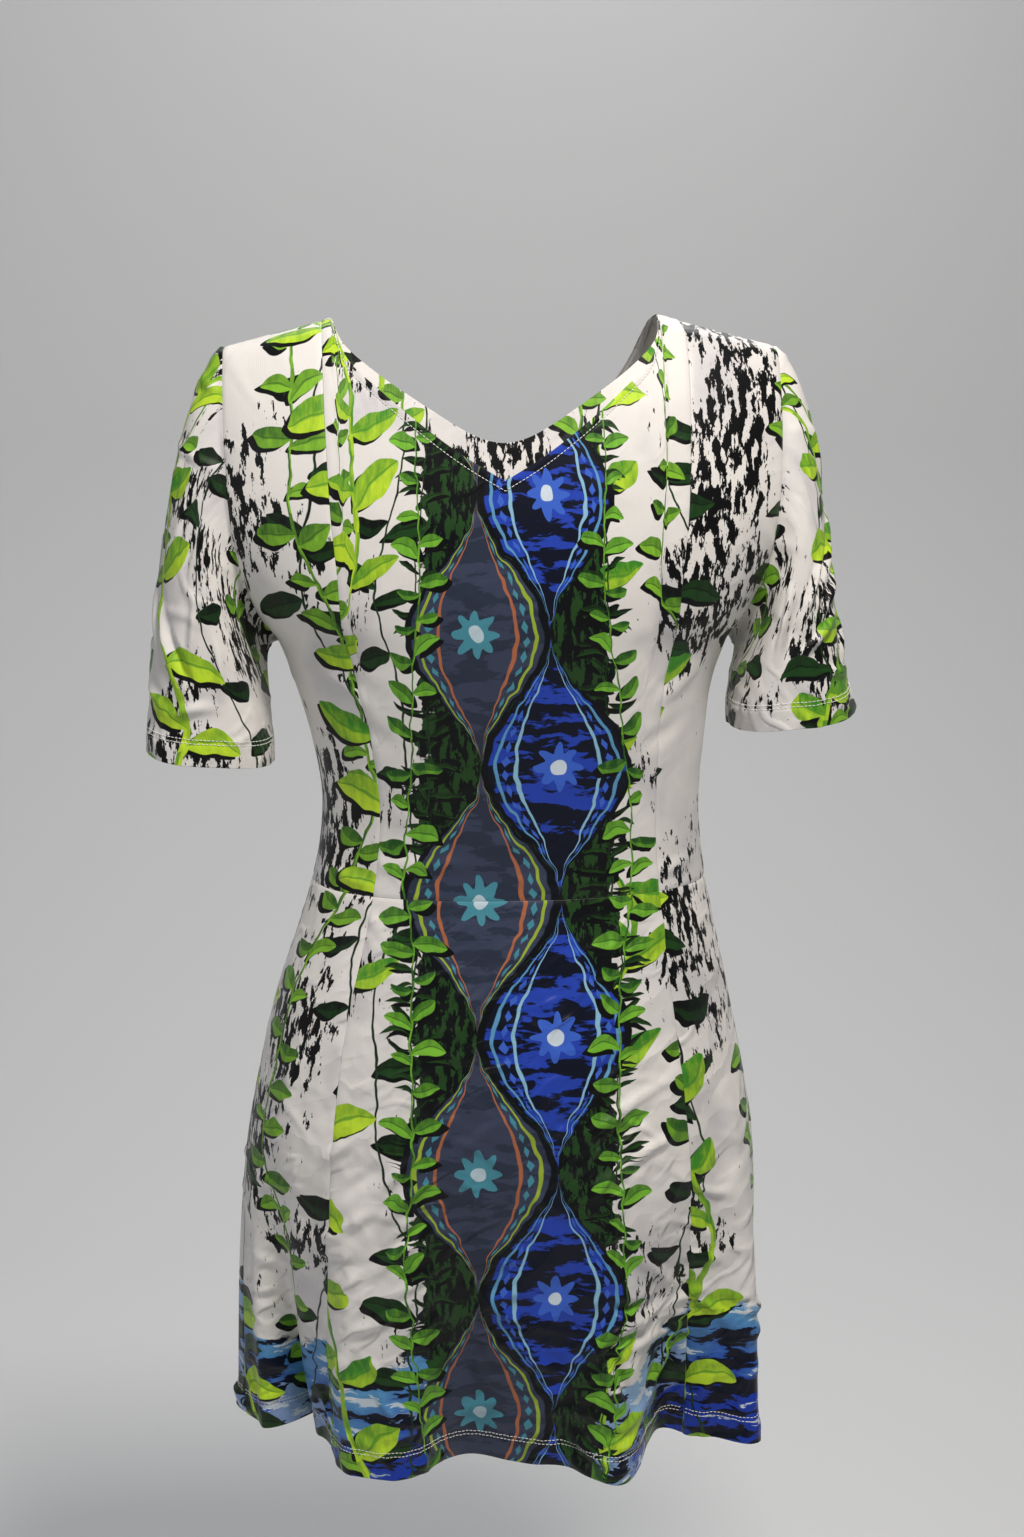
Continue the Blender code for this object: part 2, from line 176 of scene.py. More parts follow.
room.node_tree.nodes["Background"].inputs["Color"].default_value = linear("#DDE1E6")
room.node_tree.nodes["Background"].inputs["Strength"].default_value = ROOM_LIGHT
bpy.context.scene.world = room


# ==========================================================================================
# The centre back of the bodice
# A panel of printed viscose jersey between the two princess seams, with a deep V at the neck
# whose edge is turned and topstitched once. The sections and creases below are those of the
# whole worn dress, because every other panel is drawn over them too.


def in_metres(kind, lengths, *rows):
    """Table of tuples of a kind; the first so many values of its rows are in millimetres."""
    return [kind(*(value / 1000 for value in row[:lengths]), *row[lengths:]) for row in rows]


# Sections from the shoulder down. level: height at the centre; drop: how much lower the side or
# armhole edge lies; half: half the width; shift: sideways lean; back, front: depth behind and
# before the side line; edge_back, edge_front: depth of the armhole edge; turn: how far the
# section turns towards its edge, in degrees; seam: place of the princess seam as a share of half
Section = namedtuple(
    "Section", "level drop half shift back front edge_back edge_front turn seam"
)
FIGURE = in_metres(
    Section, 8,
    (31, 51, 200, 0, 0, 0, 0, 0, 70, 0.650),
    (30, 51, 200.5, 0, 14, 14, 8, 8, 70, 0.650),
    (19, 47, 201.5, 0, 42, 40, 21, 20, 68, 0.648),
    (-20, 38, 202, 0, 70, 66, 36, 34, 66, 0.645),
    (-70, 27, 201, 0, 90, 88, 48, 43, 64, 0.642),
    (-125, 16, 198, 0, 103, 102, 54, 46, 66, 0.640),
    (-175, 8, 190, 0, 108, 113, 46, 40, 75, 0.645),
    (-210, 3, 179, 0, 108, 119, 27, 24, 84, 0.672),
    (-235, 0, 166, 1, 106, 121, 0, 0, 90, 0.695),
    (-268, 0, 155, 2, 102, 120, 0, 0, 90, 0.700),
    (-305, 0, 147.5, 5, 97, 114, 0, 0, 90, 0.705),
    (-345, 0, 142.5, 7, 92, 105, 0, 0, 90, 0.710),
    (-380, 0, 143.5, 7, 89, 100, 0, 0, 90, 0.712),
    (-415, 0, 149, 6, 89, 101, 0, 0, 90, 0.710),
    (-455, 0, 159, 4, 97, 107, 0, 0, 90, 0.705),
    (-500, 0, 171.5, 1, 107, 113, 0, 0, 90, 0.700),
    (-550, 0, 183, 0, 116, 117, 0, 0, 90, 0.695),
    (-610, 0, 193.5, 0, 121, 119, 0, 0, 90, 0.690),
    (-670, 0, 197.5, 0, 120, 117, 0, 0, 90, 0.690),
    (-730, 0, 198, 0, 116, 114, 0, 0, 90, 0.700),
    (-790, 0, 196, 0, 111, 111, 0, 0, 90, 0.715),
    (-850, 0, 193, 0, 106, 108, 0, 0, 90, 0.730),
)
SHOULDER, UNDERARM, WAIST, HEM = 0, 8, 13, 21
ROUNDNESS = 2.3
SIDE, FRONT = 90.0, 180.0
PAST_SIDE = 90.001

# Flutes of the skirt. depth: outwards at the hem; start: height at which the flute begins;
# angle: round from the centre back towards +X; width: half the spread, in degrees
Flute = namedtuple("Flute", "depth start angle width")
FLUTES = in_metres(
    Flute, 2,
    (18, -560, -97, 15), (-62, -600, -64, 14), (-28, -600, -50, 15), (22, -560, -34, 12),
    (22, -570, -23, 11), (-22, -600, -7, 12), (42, -600, 19, 12), (-34, -620, 38, 13),
    (34, -550, 62, 12), (-8, -660, 85, 12), (24, -580, 108, 14), (-28, -620, 129, 13),
    (34, -560, 150, 14), (-24, -620, 171, 15), (30, -580, 193, 14), (-26, -640, 213, 13),
    (32, -550, 233, 14), (-20, -660, 250, 11),
)
FLUTE_SPREAD, FLUTE_GROWTH = 0.5, 1.3
PROBE_ANGLE, PROBE_PLACE = 0.5, 0.05


def read_rows(rows, places):
    """Smooth curve through the rows of a table, read at places counted in rows."""
    table = np.array(rows)
    last = len(rows) - 1
    first = np.clip(places.astype(int), 0, last - 1)
    part = (places - first)[..., None]
    before, start = table[np.maximum(first - 1, 0)], table[first]
    end, after = table[first + 1], table[np.minimum(first + 2, last)]
    rise_start, rise_end = (end - before) / 2, (after - start) / 2
    cubic = 2 * start - 2 * end + rise_start + rise_end
    square = 3 * end - 3 * start - 2 * rise_start - rise_end
    return (cubic * part + square) * part ** 2 + rise_start * part + start


def sections_at(places):
    """Sections of the figure at places down it, and how far they turn, in radians."""
    rows = Section(*np.moveaxis(read_rows(FIGURE, places), -1, 0))
    return rows, np.radians(np.minimum(rows.turn, SIDE))


def bump(offset):
    """Soft hump: 1 at the middle, 0 at a distance of 1 and beyond."""
    return np.cos(np.clip(offset, -1, 1) * pi / 2) ** 2


def wrapped(angles):
    """Angles brought between -180 and 180 degrees."""
    return (angles + 180) % 360 - 180


def section_points(angles, places):
    """Points of the smooth sections, before the flutes."""
    rows, turn = sections_at(places)
    angles = wrapped(angles)
    behind = np.abs(angles) <= SIDE
    quarter = np.where(behind, np.abs(angles), FRONT - np.abs(angles))
    along = turn * quarter / SIDE
    power = 2 / ROUNDNESS
    across = (np.sin(along) / np.sin(turn)) ** power
    edge_round = np.maximum(np.cos(turn), 0) ** power
    toward = (np.maximum(np.cos(along), 0) ** power - edge_round) / (1 - edge_round)
    reach = np.where(behind, rows.back, rows.front)
    edge = np.maximum(np.where(behind, rows.edge_back, rows.edge_front), 0)
    depth = edge + (reach - edge) * toward
    return np.stack([
        rows.shift + np.where(angles < 0, -1, 1) * rows.half * across,
        np.where(behind, -depth, depth),
        rows.level - np.maximum(rows.drop, 0) * across,
    ], axis=-1)


def flute_depths(angles, levels):
    """How far the flutes push the skirt outwards."""
    depth = np.zeros_like(levels)
    for flute in FLUTES:
        fall = np.maximum(flute.start - levels, 0) / (flute.start - FIGURE[HEM].level)
        hump = bump(wrapped(angles - flute.angle) / flute.width)
        depth += flute.depth * hump * fall ** FLUTE_GROWTH
    return depth


def unit(vectors):
    """Vectors brought to a length of 1."""
    return vectors / np.maximum(np.linalg.norm(vectors, axis=-1, keepdims=True), 1e-12)


def body_points(angles, places):
    """Points of the smooth cloth: angle round from the centre back, place down the figure."""
    points = section_points(angles, places)
    along = section_points(angles + PROBE_ANGLE, places)
    along -= section_points(angles - PROBE_ANGLE, places)
    outward = np.stack(
        [along[..., 1] * FLUTE_SPREAD, -along[..., 0], np.zeros_like(along[..., 0])], axis=-1
    )
    return points + unit(outward) * flute_depths(angles, points[..., 2])[..., None]


def body_normals(angles, places):
    """Directions that face out of the smooth cloth, taken within the back or the front."""
    behind = np.abs(wrapped(angles)) <= SIDE
    low = np.where(behind, -SIDE, PAST_SIDE)
    high = np.where(behind, SIDE, 2 * FRONT - PAST_SIDE)
    across = body_points(np.minimum(angles + PROBE_ANGLE, high), places)
    across -= body_points(np.maximum(angles - PROBE_ANGLE, low), places)
    down = body_points(angles, np.minimum(places + PROBE_PLACE, HEM))
    down -= body_points(angles, np.maximum(places - PROBE_PLACE, SHOULDER))
    return unit(np.cross(down, across))


def seam_angles(places):
    """Angle of the princess seam, on the +X side, at places down the figure."""
    rows, turn = sections_at(places)
    along = np.arcsin(np.minimum(rows.seam ** (ROUNDNESS / 2), 1) * np.sin(turn))
    return np.degrees(along) * SIDE / np.degrees(turn)


# Creases of the worn cloth. x, z: the middle; length; width: from the crest to
# where it dies out; depth: outwards, so a trough is below 0; bow: how far the middle of the
# crease lies above its ends; lean: degrees up to the right
Crease = namedtuple("Crease", "x z length width depth bow lean")
CREASE_FADE = 0.8
BACK_CREASES = in_metres(
    Crease, 6,
    # drag lines from the underarms and across the waist
    (-118, -262, 70, 7, 1.6, 4, -38), (-108, -290, 75, 8, -1.4, 4, -30),
    (120, -258, 65, 7, 1.6, -4, 40), (110, -292, 70, 8, -1.4, -4, 33),
    (-60, -392, 110, 7, 1.5, 3, 3), (45, -401, 120, 7, 1.5, -2, -2), (0, -375, 90, 8, 1.1, 3, 2),
    (-115, -404, 50, 6, 1.9, 0, -14), (125, -398, 48, 6, 1.9, 0, 16),
    (-100, -432, 42, 6, 1.4, 0, -64), (118, -436, 46, 6, 1.4, 0, 62),
    (-30, -140, 70, 10, 0.7, 2, 18), (70, -120, 60, 10, 0.7, 2, -24),
    # the crumpled ground on the left of the skirt, all rising to the right
    (-126, -600, 49, 5.1, 3.4, 3, 40), (-112, -622, 56, 5.1, -2.5, 2, 42),
    (-118, -655, 63, 5.5, 3.3, 3, 38), (-88, -612, 58, 5.1, 3.4, -2, 46),
    (-80, -634, 67, 5.5, 3.9, 2, 48), (-74, -658, 65, 5.1, -3, 2, 44),
    (-84, -676, 67, 5.5, 4.1, 4, 40), (-72, -698, 63, 5.1, 3.4, 3, 37),
    (-90, -716, 58, 5.1, 3.9, -3, 34), (-66, -730, 56, 5.1, -3, 2, 50),
    (-118, -700, 49, 5.1, 3.3, 3, 62), (-108, -734, 52, 5.1, 3.4, 3, 24),
    (-54, -764, 60, 5.5, 3, 2, 30), (-130, -768, 45, 5.5, 3, 0, 70),
    # soft fans across the right of the skirt
    (78, -545, 83, 6, 2.5, 4, 24), (92, -566, 92, 5.5, 3.3, 3, 28),
    (86, -586, 87, 5.5, -2.5, 3, 30), (100, -604, 74, 5.5, 3.3, 2, 26),
    (72, -622, 60, 5.5, 2.5, 2, 36), (74, -668, 112, 6.4, 3.8, 3, 88),
    (90, -684, 67, 5.1, 3, 3, -66), (108, -702, 72, 5.1, 3.3, 2, -54),
    (84, -722, 49, 5.1, -4.4, 3, -4), (92, -736, 65, 5.1, 3.9, 3, 8),
    (64, -742, 56, 5.1, 3.9, -3, 52), (104, -756, 78, 5.1, 3.4, 4, -8),
    (78, -772, 90, 5.1, -4.8, 2, -70), (70, -776, 81, 5.1, 3.9, 2, -72),
    (114, -778, 85, 5.1, 4.1, -3, 62), (122, -786, 67, 5.1, -3.4, -2, 58),
    (96, -806, 63, 4.6, 3.3, 2, 12), (90, -822, 72, 4.6, 3, -2, -10),
    (138, -730, 45, 5.1, 3, 2, 20), (146, -700, 49, 5.1, 3, 3, -18),
    (156, -745, 47, 5.1, 3, 2, -44), (160, -790, 56, 5.5, 3, 0, 64),
    # the middle of the skirt
    (-10, -470, 90, 8, 1.1, 3, 66), (30, -500, 80, 8, 1.1, 3, -58),
    (-22, -585, 78, 6.4, 2.1, 3, 34), (24, -640, 72, 6.4, 2.1, 3, -30),
    (-12, -716, 67, 6, 2.4, 3, 26), (26, -770, 65, 6, 2.5, 2, -28),
    (-20, -806, 60, 5.5, 2.5, 2, 22),
    # the left flute and the side gores
    (-178, -640, 40, 5.1, 2.9, 2, 6), (-176, -706, 43, 5.1, 3, -2, -4),
    (-182, -742, 38, 5.1, -3, 2, 10), (-176, -800, 40, 5.1, 3.3, 2, -22),
    (-184, -822, 45, 5.1, 3, -2, 12), (-160, -560, 67, 6.4, 2.1, 2, 74),
    (170, -610, 72, 6.4, 2.1, 2, -76),
)
FRONT_CREASES = in_metres(
    Crease, 6,
    (-112, -260, 70, 7.5, 1.6, 4, 36), (116, -264, 66, 7.5, 1.6, 4, -34),
    (-50, -396, 120, 7, 1.5, 3, -3), (62, -402, 100, 7, 1.5, -2, 4),
    (-104, -434, 44, 6, 1.4, 0, 60), (112, -438, 48, 6, 1.4, 0, -58),
    (-92, -590, 67, 5.5, 3.3, 3, -38), (-76, -622, 72, 5.5, -2.5, 2, -42),
    (-86, -654, 65, 5.1, 3.8, 3, -36), (-110, -690, 60, 5.1, 3.4, -3, -48),
    (-78, -718, 63, 5.1, 3.8, 3, -30), (-100, -752, 69, 5.1, -3.4, 2, -56),
    (-66, -786, 67, 5.1, 3.3, 2, 28), (-6, -560, 94, 6.4, 2.1, 3, 62),
    (14, -640, 78, 6, 2.5, 3, -34), (-18, -716, 69, 5.5, 3, 3, 32), (20, -790, 65, 5.5, 3, 2, -24),
    (86, -572, 87, 5.5, 3, 3, 30), (96, -606, 81, 5.5, -2.5, 3, 34), (78, -650, 90, 6, 3.4, 3, 82),
    (104, -694, 67, 5.1, 3.3, 2, -52), (86, -732, 63, 5.1, 3.9, 3, 8),
    (108, -764, 74, 5.1, -3.9, -3, 58), (76, -806, 67, 5.1, 3, 2, -12),
    (158, -650, 49, 5.1, 2.9, 2, -10), (164, -740, 52, 5.1, 3, 2, 16),
    (-160, -680, 49, 5.1, 2.9, 2, 12), (-166, -770, 54, 5.1, 3, 2, -18),
)
CREASES_KEPT_TO_SIDE = 1.6
# Crumple: fine uneven creasing all over, in narrow crests that wander and fade. height: of its
# crests; pitch: from crest to crest; sharp: how narrow a crest is
Crumple = namedtuple("Crumple", "height pitch sharp")
BODICE_CRUMPLE, SKIRT_CRUMPLE = Crumple(0.0006, 0.040, 3.8), Crumple(0.0036, 0.034, 5.0)
CRUMPLE_STARTS, CRUMPLE_FULL = -0.46, -0.66
CREST_STRETCH, CREST_SLANT = 0.55, 0.35
PATCH_SCALE, PATCH_SHIFT, PATCH_LEAST, PATCH_GAIN = 0.45, 9, 0.35, 1.6


def crease_heights(across, down, creases):
    """How far the listed creases lift the cloth, each a crest between two shallow troughs."""
    height = np.zeros_like(across)
    for crease in creases:
        lean = radians(crease.lean)
        along = (across - crease.x) * cos(lean) + (down - crease.z) * sin(lean)
        share = along / (crease.length / 2)
        off = (down - crease.z) * cos(lean) - (across - crease.x) * sin(lean)
        off = (off - crease.bow * (1 - share ** 2)) / crease.width
        height += crease.depth * bump(share) * (1 - off ** 2) * np.exp(-off ** 2 * CREASE_FADE)
    return height


def crumple_heights(points, crumple):
    """Fine uneven creasing: crests that mostly rise to the right, strong in some places only."""
    heights = []
    for x, y, z in points.reshape(-1, 3) / crumple.pitch:
        crest = noise.noise(Vector((
            CREST_STRETCH * x - CREST_SLANT * z, CREST_STRETCH * y, z + CREST_STRETCH * x
        )))
        patch = noise.noise(Vector((
            PATCH_SCALE * x, PATCH_SCALE * y + PATCH_SHIFT, PATCH_SCALE * z
        )))
        crest = max(1 - (crumple.sharp * crest) ** 2, 0) ** 2
        heights.append(crest * max(PATCH_LEAST + PATCH_GAIN * patch, 0))
    return crumple.height * np.array(heights).reshape(points.shape[:-1])


def cloth_points(angles, places):
    """Points of the creased cloth at angles round and places down the figure."""
    points, normals = body_points(angles, places), body_normals(angles, places)
    across, level = points[..., 0], points[..., 2]
    height = np.where(
        np.abs(wrapped(angles)) <= SIDE,
        crease_heights(across, level, BACK_CREASES),
        crease_heights(across, level, FRONT_CREASES),
    ) * np.minimum(np.abs(normals[..., 1]) * CREASES_KEPT_TO_SIDE, 1)
    loose = np.clip((CRUMPLE_STARTS - level) / (CRUMPLE_STARTS - CRUMPLE_FULL), 0, 1)
    height += crumple_heights(points, SKIRT_CRUMPLE) * loose
    height += crumple_heights(points, BODICE_CRUMPLE) * (1 - loose)
    return points + normals * height[..., None]


# The print: leafy stems, dry-brushed black flecks, pointed medallions and a painted border, in
# a generic drawing. Its motifs are groups of nodes that work in the metres of the flat cloth,
# so that each panel shows its own cut of it.

EDGE_FADES = 0.0005


def new_motif(name, inputs, outputs):
    """Node group, what it is asked, and what adds a node to it.

    Its sockets are vectors or colours where their names say so, or else numbers.
    """
    motif = bpy.data.node_groups.new(name, "ShaderNodeTree")
    kinds = {"Cut": "NodeSocketVector", "Colour": "NodeSocketColor"}
    for in_out, sockets in (("INPUT", inputs), ("OUTPUT", outputs)):
        for socket in sockets:
            motif.interface.new_socket(
                socket, in_out=in_out, socket_type=kinds.get(socket, "NodeSocketFloat")
            )
    return motif, motif.nodes.new("NodeGroupInput").outputs, partial(node, motif)


# A leafy stem: columns of wandering stems, with a pair of pointed leaves to each length of it
SWAYS = (17.0, 43.0)
LEAF_LEANS, LEAF_LENGTHS, LEAF_BOWS = (0.22, -0.85), (0.60, 1.0), (-0.16, 0.22)
LEAF_POINT = 0.70
PAIR_OFFSET, LEAF_FOOT = 0.12, 0.30

stem_motif, asked, add = new_motif(
    "leafy stem",
    ["Cut", "Columns apart", "Leaves apart", "Leaf length", "Leaf width", "Stem width",
     "Wander", "Share of leaves", "Seed"],
    ["Leaf", "Stem", "Pick", "Across"],
)
cut = add("SeparateXYZ", asked["Cut"]).outputs
column = add("FLOOR", add("DIVIDE", cut["X"], asked["Columns apart"]))
middle = add("MULTIPLY", add("ADD", column, 0.5), asked["Columns apart"])
column_pick = add("TexWhiteNoise.2D", add("CombineXYZ", column, asked["Seed"]))
phase = add("MULTIPLY", column_pick, 37.0)
slow, quick = (
    add("SINE", add("MULTIPLY_ADD", cut["Y"], sway, phase)) for sway in SWAYS
)
sway = add("MULTIPLY_ADD", quick, 0.3, slow)
line = add("MULTIPLY_ADD", sway, asked["Wander"], middle)
off = add("SUBTRACT", cut["X"], line)
side = add("SIGN", off)
away = add("ABSOLUTE", off)
up = add("ADD", add("DIVIDE", cut["Y"], asked["Leaves apart"]), phase)
up = add("MULTIPLY_ADD", side, PAIR_OFFSET, up)
pair = add("FLOOR", up)
rise = add("SUBTRACT", add("FRACT", up), LEAF_FOOT)
rise = add("MULTIPLY", rise, asked["Leaves apart"])
leaf_key = add(
    "CombineXYZ",
    add("MULTIPLY_ADD", column, 2.0, side), add("ADD", pair, asked["Seed"]),
)
leaf_pick = add("TexWhiteNoise.2D", leaf_key)
picks = add("SeparateColor", leaf_pick.outputs["Color"]).outputs
lean = add("MapRange", picks["Red"], 0.0, 1.0, *LEAF_LEANS)
turned = add("VectorRotate.Z_AXIS", add("CombineXYZ", away, rise), None, lean)
leaf = add("SeparateXYZ", turned).outputs
length = add("MapRange", picks["Green"], 0.0, 1.0, *LEAF_LENGTHS)
length = add("MULTIPLY", length, asked["Leaf length"])
share = add("DIVIDE", leaf["X"], length)
swell = add("MULTIPLY", share, add("SUBTRACT", 1.0, share))
swell = add("MULTIPLY", swell, 4.0, use_clamp=True)
half = add("MULTIPLY", add("POWER", swell, LEAF_POINT), length)
half = add("MULTIPLY", half, asked["Leaf width"])
# Each leaf bows up or down along its length
bow = add("MULTIPLY", add("MapRange", picks["Blue"], 0.0, 1.0, *LEAF_BOWS), length)
lift = add("MULTIPLY_ADD", swell, bow, add("MULTIPLY", leaf["Y"], -1.0))
inside = add("SUBTRACT", half, add("ABSOLUTE", lift))
kept = add("LESS_THAN", leaf_pick, asked["Share of leaves"])
stem_inside = add("SUBTRACT", asked["Stem width"], away)
add(
    "NodeGroupOutput",
    add("MULTIPLY", add("MapRange", inside, 0.0, EDGE_FADES), kept),
    add("MapRange", stem_inside, 0.0, EDGE_FADES),
    picks["Blue"],
    add("DIVIDE", lift, add("MAXIMUM", half, 0.0001)),
)

# A chain of pointed medallions: one above the other, each an ogee that narrows to nothing.
# Inset runs from 1 on the centre line to 0 at the edge of the medallion.
PETALS, PETAL_DEPTH, PETAL_REACH = 8.0, 0.0040, 0.0150
BEADS, BEAD_SIZE, BEAD_INSET, BEAD_NARROWS, BEAD_FADES = 18.0, 0.42, 0.33, 8.0, 0.06

ogee_motif, asked, add = new_motif(
    "pointed medallion", ["Cut", "Centre", "Phase", "Half width", "Height"],
    ["Inside", "Inset", "Petal", "Radius", "Bead"],
)
cut = add("SeparateXYZ", asked["Cut"]).outputs
off = add("ABSOLUTE", add("SUBTRACT", cut["X"], asked["Centre"]))
turn = add("ADD", add("DIVIDE", cut["Y"], asked["Height"]), asked["Phase"])
wave = add("COSINE", add("MULTIPLY", turn, 2 * pi))
edge = add("MULTIPLY", add("MULTIPLY_ADD", wave, 0.5, 0.5), asked["Half width"])
inset = add("SUBTRACT", 1.0, add("DIVIDE", off, edge))
# The petals of its rosette, about the widest place
rise = add("SUBTRACT", add("FRACT", add("ADD", turn, 0.5)), 0.5)
rise = add("MULTIPLY", rise, asked["Height"])
radius = add("VectorMath.LENGTH", add("CombineXYZ", off, rise))
petal = add("MULTIPLY", add("ARCTAN2", rise, off), PETALS)
petal = add("MULTIPLY_ADD", add("COSINE", petal), PETAL_DEPTH, PETAL_REACH)
# A string of beads between its two drawn lines
string = add("ABSOLUTE", add("SUBTRACT", inset, BEAD_INSET))
string = add("MULTIPLY", string, BEAD_NARROWS)
bead = add("FRACT", add("MULTIPLY", turn, BEADS))
bead = add("ABSOLUTE", add("SUBTRACT", bead, 0.5))
bead = add("SUBTRACT", BEAD_SIZE, add("ADD", bead, string))
add(
    "NodeGroupOutput",
    add("MapRange", add("SUBTRACT", edge, off), 0.0, EDGE_FADES),
    inset,
    add("MapRange", add("SUBTRACT", petal, radius), 0.0, EDGE_FADES),
    radius,
    add("MapRange", bead, 0.0, BEAD_FADES),
)

# The whole print as one group, from a place on the flat cloth to its colour
jersey_print, asked, add = new_motif("print", ["Cut"], ["Colour"])
# A hand-drawn edge to everything: the place wobbles by about a millimetre
WOBBLE = 0.0060
wobble = add("TexNoise.2D", asked["Cut"], 55.0, 1.0).outputs["Color"]
wobble = add("VectorMath.SUBTRACT", wobble, (0.5, 0.5, 0.5))
drawn = add("VectorMath.MULTIPLY_ADD", wobble, (WOBBLE, WOBBLE, 0.0), asked["Cut"])
place = add("SeparateXYZ", drawn).outputs
off_centre = add("ABSOLUTE", place["X"])

# Warm ivory ground with faint grey washes
mottle = add("TexNoise.2D", asked["Cut"], 9.0, 4.0)
mottle = add("MapRange", mottle, 0.50, 0.74, 0.0, 0.75)
ground = add("Mix.RGBA", mottle, "#E9E5E0", "#BDBAC0")

# Dry-brushed black flecks: short upright marks in loose patches, thickest at the sides
FLECK_STRETCH, FLECK_SCALE = 0.36, 155.0
brushed = add("VectorMath.MULTIPLY", asked["Cut"], (1.0, FLECK_STRETCH, 1.0))
flecks = add("TexNoise.2D", brushed, FLECK_SCALE, 4.0, 0.62)
patches = add("TexNoise.2D", asked["Cut"], 8.5, 3.0)
sides = add("MapRange", off_centre, 0.10, 0.30, -0.03, 0.05)
lower = add("MapRange", place["Y"], -0.04, -0.16, 0.0, -0.045)
patches = add("ADD", patches, add("ADD", sides, lower))
fleck_level = add("MapRange", patches, 0.46, 0.66, 0.74, 0.465)
fleck_mask = add("MapRange", add("SUBTRACT", flecks, fleck_level), 0.0, 0.02)
colour = add("Mix.RGBA", fleck_mask, ground, "#08080A")

# The painted border: washes of blue that rise and fall above the hem, streaked along it
BORDER_TOP, BORDER_SWELL, BORDER_RAGGED = -0.366, 0.026, 0.040
SWELL_LENGTH, SWELL_PHASE = 0.23, 2.6
streaked = add("VectorMath.MULTIPLY", drawn, (0.26, 1.0, 1.0))
streaks = add("TexNoise.2D", streaked, 75.0, 4.0, 0.6)
swell = add("MULTIPLY_ADD", place["X"], 2 * pi / SWELL_LENGTH, SWELL_PHASE)
swell = add("SINE", swell)
border_top = add("MULTIPLY_ADD", swell, BORDER_SWELL, BORDER_TOP)
border_top = add("MULTIPLY_ADD", streaks, BORDER_RAGGED, border_top)
depth = add("SUBTRACT", border_top, place["Y"])
blues = add("MapRange", add("MULTIPLY_ADD", streaks, 0.10, depth), 0.050, 0.115)
blue = add("Mix.RGBA", blues, "#5B97C4", "#1D3CA8")
washed = add("TexNoise.2D", streaked, 14.0, 1.0)
washed = add("MULTIPLY_ADD", streaks, 0.6, washed)
blue = add("Mix.RGBA", add("MapRange", washed, 0.84, 0.88, 0.0, 0.6), blue, "#A4C0DA")
navy = add("MapRange", add("MULTIPLY_ADD", depth, 0.5, streaks), 0.555, 0.575)
blue = add("Mix.RGBA", navy, blue, "#0B1022")
blue = add("Mix.RGBA", add("MapRange", streaks, 0.375, 0.355), blue, "#C9D6DF")
colour = add("Mix.RGBA", add("MapRange", depth, 0.0, 0.003), colour, blue)

# Leafy stems, each kind over its own black shadow: shadowy sprays, small leaves, large leaves
Stems = namedtuple(
    "Stems", "moved columns_apart leaves_apart length width stem wander share seed dark light"
)
STEMS = [
    Stems((0.031, 0.012), 0.125, 0.050, 0.046, 0.20, 0.0012, 0.014, 0.55, 3, "#0B0E0D", "#1F431B"),
    Stems((0.092, 0.000), 0.165, 0.034, 0.031, 0.26, 0.0016, 0.016, 0.80, 11, "#2F5A22", "#86BE34"),
    Stems((0.048, 0.020), 0.210, 0.060, 0.056, 0.23, 0.0030, 0.022, 0.88, 23, "#3F8A2A", "#C3E436"),
]
SHADOW_MOVED = (0.0042, 0.0030)


def grow_stems(stems, at, under, near=1.0):
    """Colour with leafy stems over their own shadow, where near is 1.

    The leaves are lit along one side, brushed along their length and dark along the vein.
    """
    leaves_at = np.array(stems.moved)
    shadow, stem = (
        add("Group", add("VectorMath.ADD", at, (*moved, 0.0)), *stems[1:9],
            node_tree=stem_motif).outputs
        for moved in (leaves_at + SHADOW_MOVED, leaves_at)
    )
    shadow = add("MULTIPLY", shadow["Leaf"], near)
    under = add("Mix.RGBA", shadow, under, "#08090A")
    lit = add("MapRange", stem["Across"], -0.25, 0.25, 0.0, 0.45)
    shade = add("ADD", lit, add("MULTIPLY_ADD", flecks, 1.1, -0.55))
    shade = add("MULTIPLY_ADD", stem["Pick"], 0.65, shade, use_clamp=True)
    green = add("Mix.RGBA", shade, stems.dark, stems.light)
    vein = add("MapRange", add("ABSOLUTE", stem["Across"]), 0.05, 0.14, 0.7, 0.0)
    green = add("Mix.RGBA", vein, green, stems.dark)
    mask = add("MULTIPLY", add("MAXIMUM", stem["Leaf"], stem["Stem"]), near)
    return add("Mix.RGBA", mask, under, green)


for stems in STEMS:
    colour = grow_stems(stems, drawn, colour)

# A dark leafy ground under the medallions, with ragged edges
LEAFY_HALF, LEAFY_RAGGED = 0.074, 0.034
ragged = add("TexNoise.2D", drawn, 60.0, 3.0)
reach = add("MULTIPLY_ADD", ragged, LEAFY_RAGGED, LEAFY_HALF - LEAFY_RAGGED / 2)
bed = add("MapRange", add("SUBTRACT", reach, off_centre), 0.0, 0.001)
thicket = add("Mix.RGBA", add("MapRange", flecks, 0.50, 0.54), "#090C0E", "#24451F")
colour = add("Mix.RGBA", bed, colour, thicket)
mirrored = add("CombineXYZ", off_centre, place["Y"])


def grow_garland(stems, under):
    """Colour with one leafy stem up each side of the centre."""
    near = add("LESS_THAN", off_centre, stems.columns_apart - stems.moved[0])
    return grow_stems(stems, mirrored, under, near)


# Dark ferns along both edges of that ground
colour = grow_garland(
    Stems((0.004, 0.010), 0.152, 0.0115, 0.027, 0.10, 0.0009, 0.005, 0.86, 31, "#0A120B", "#24491B"),
    colour,
)

# Two chains of medallions side by side, in half drop: a slate one, then a blue one
MEDALLION_HALF, MEDALLION_HEIGHT = 0.058, 0.200
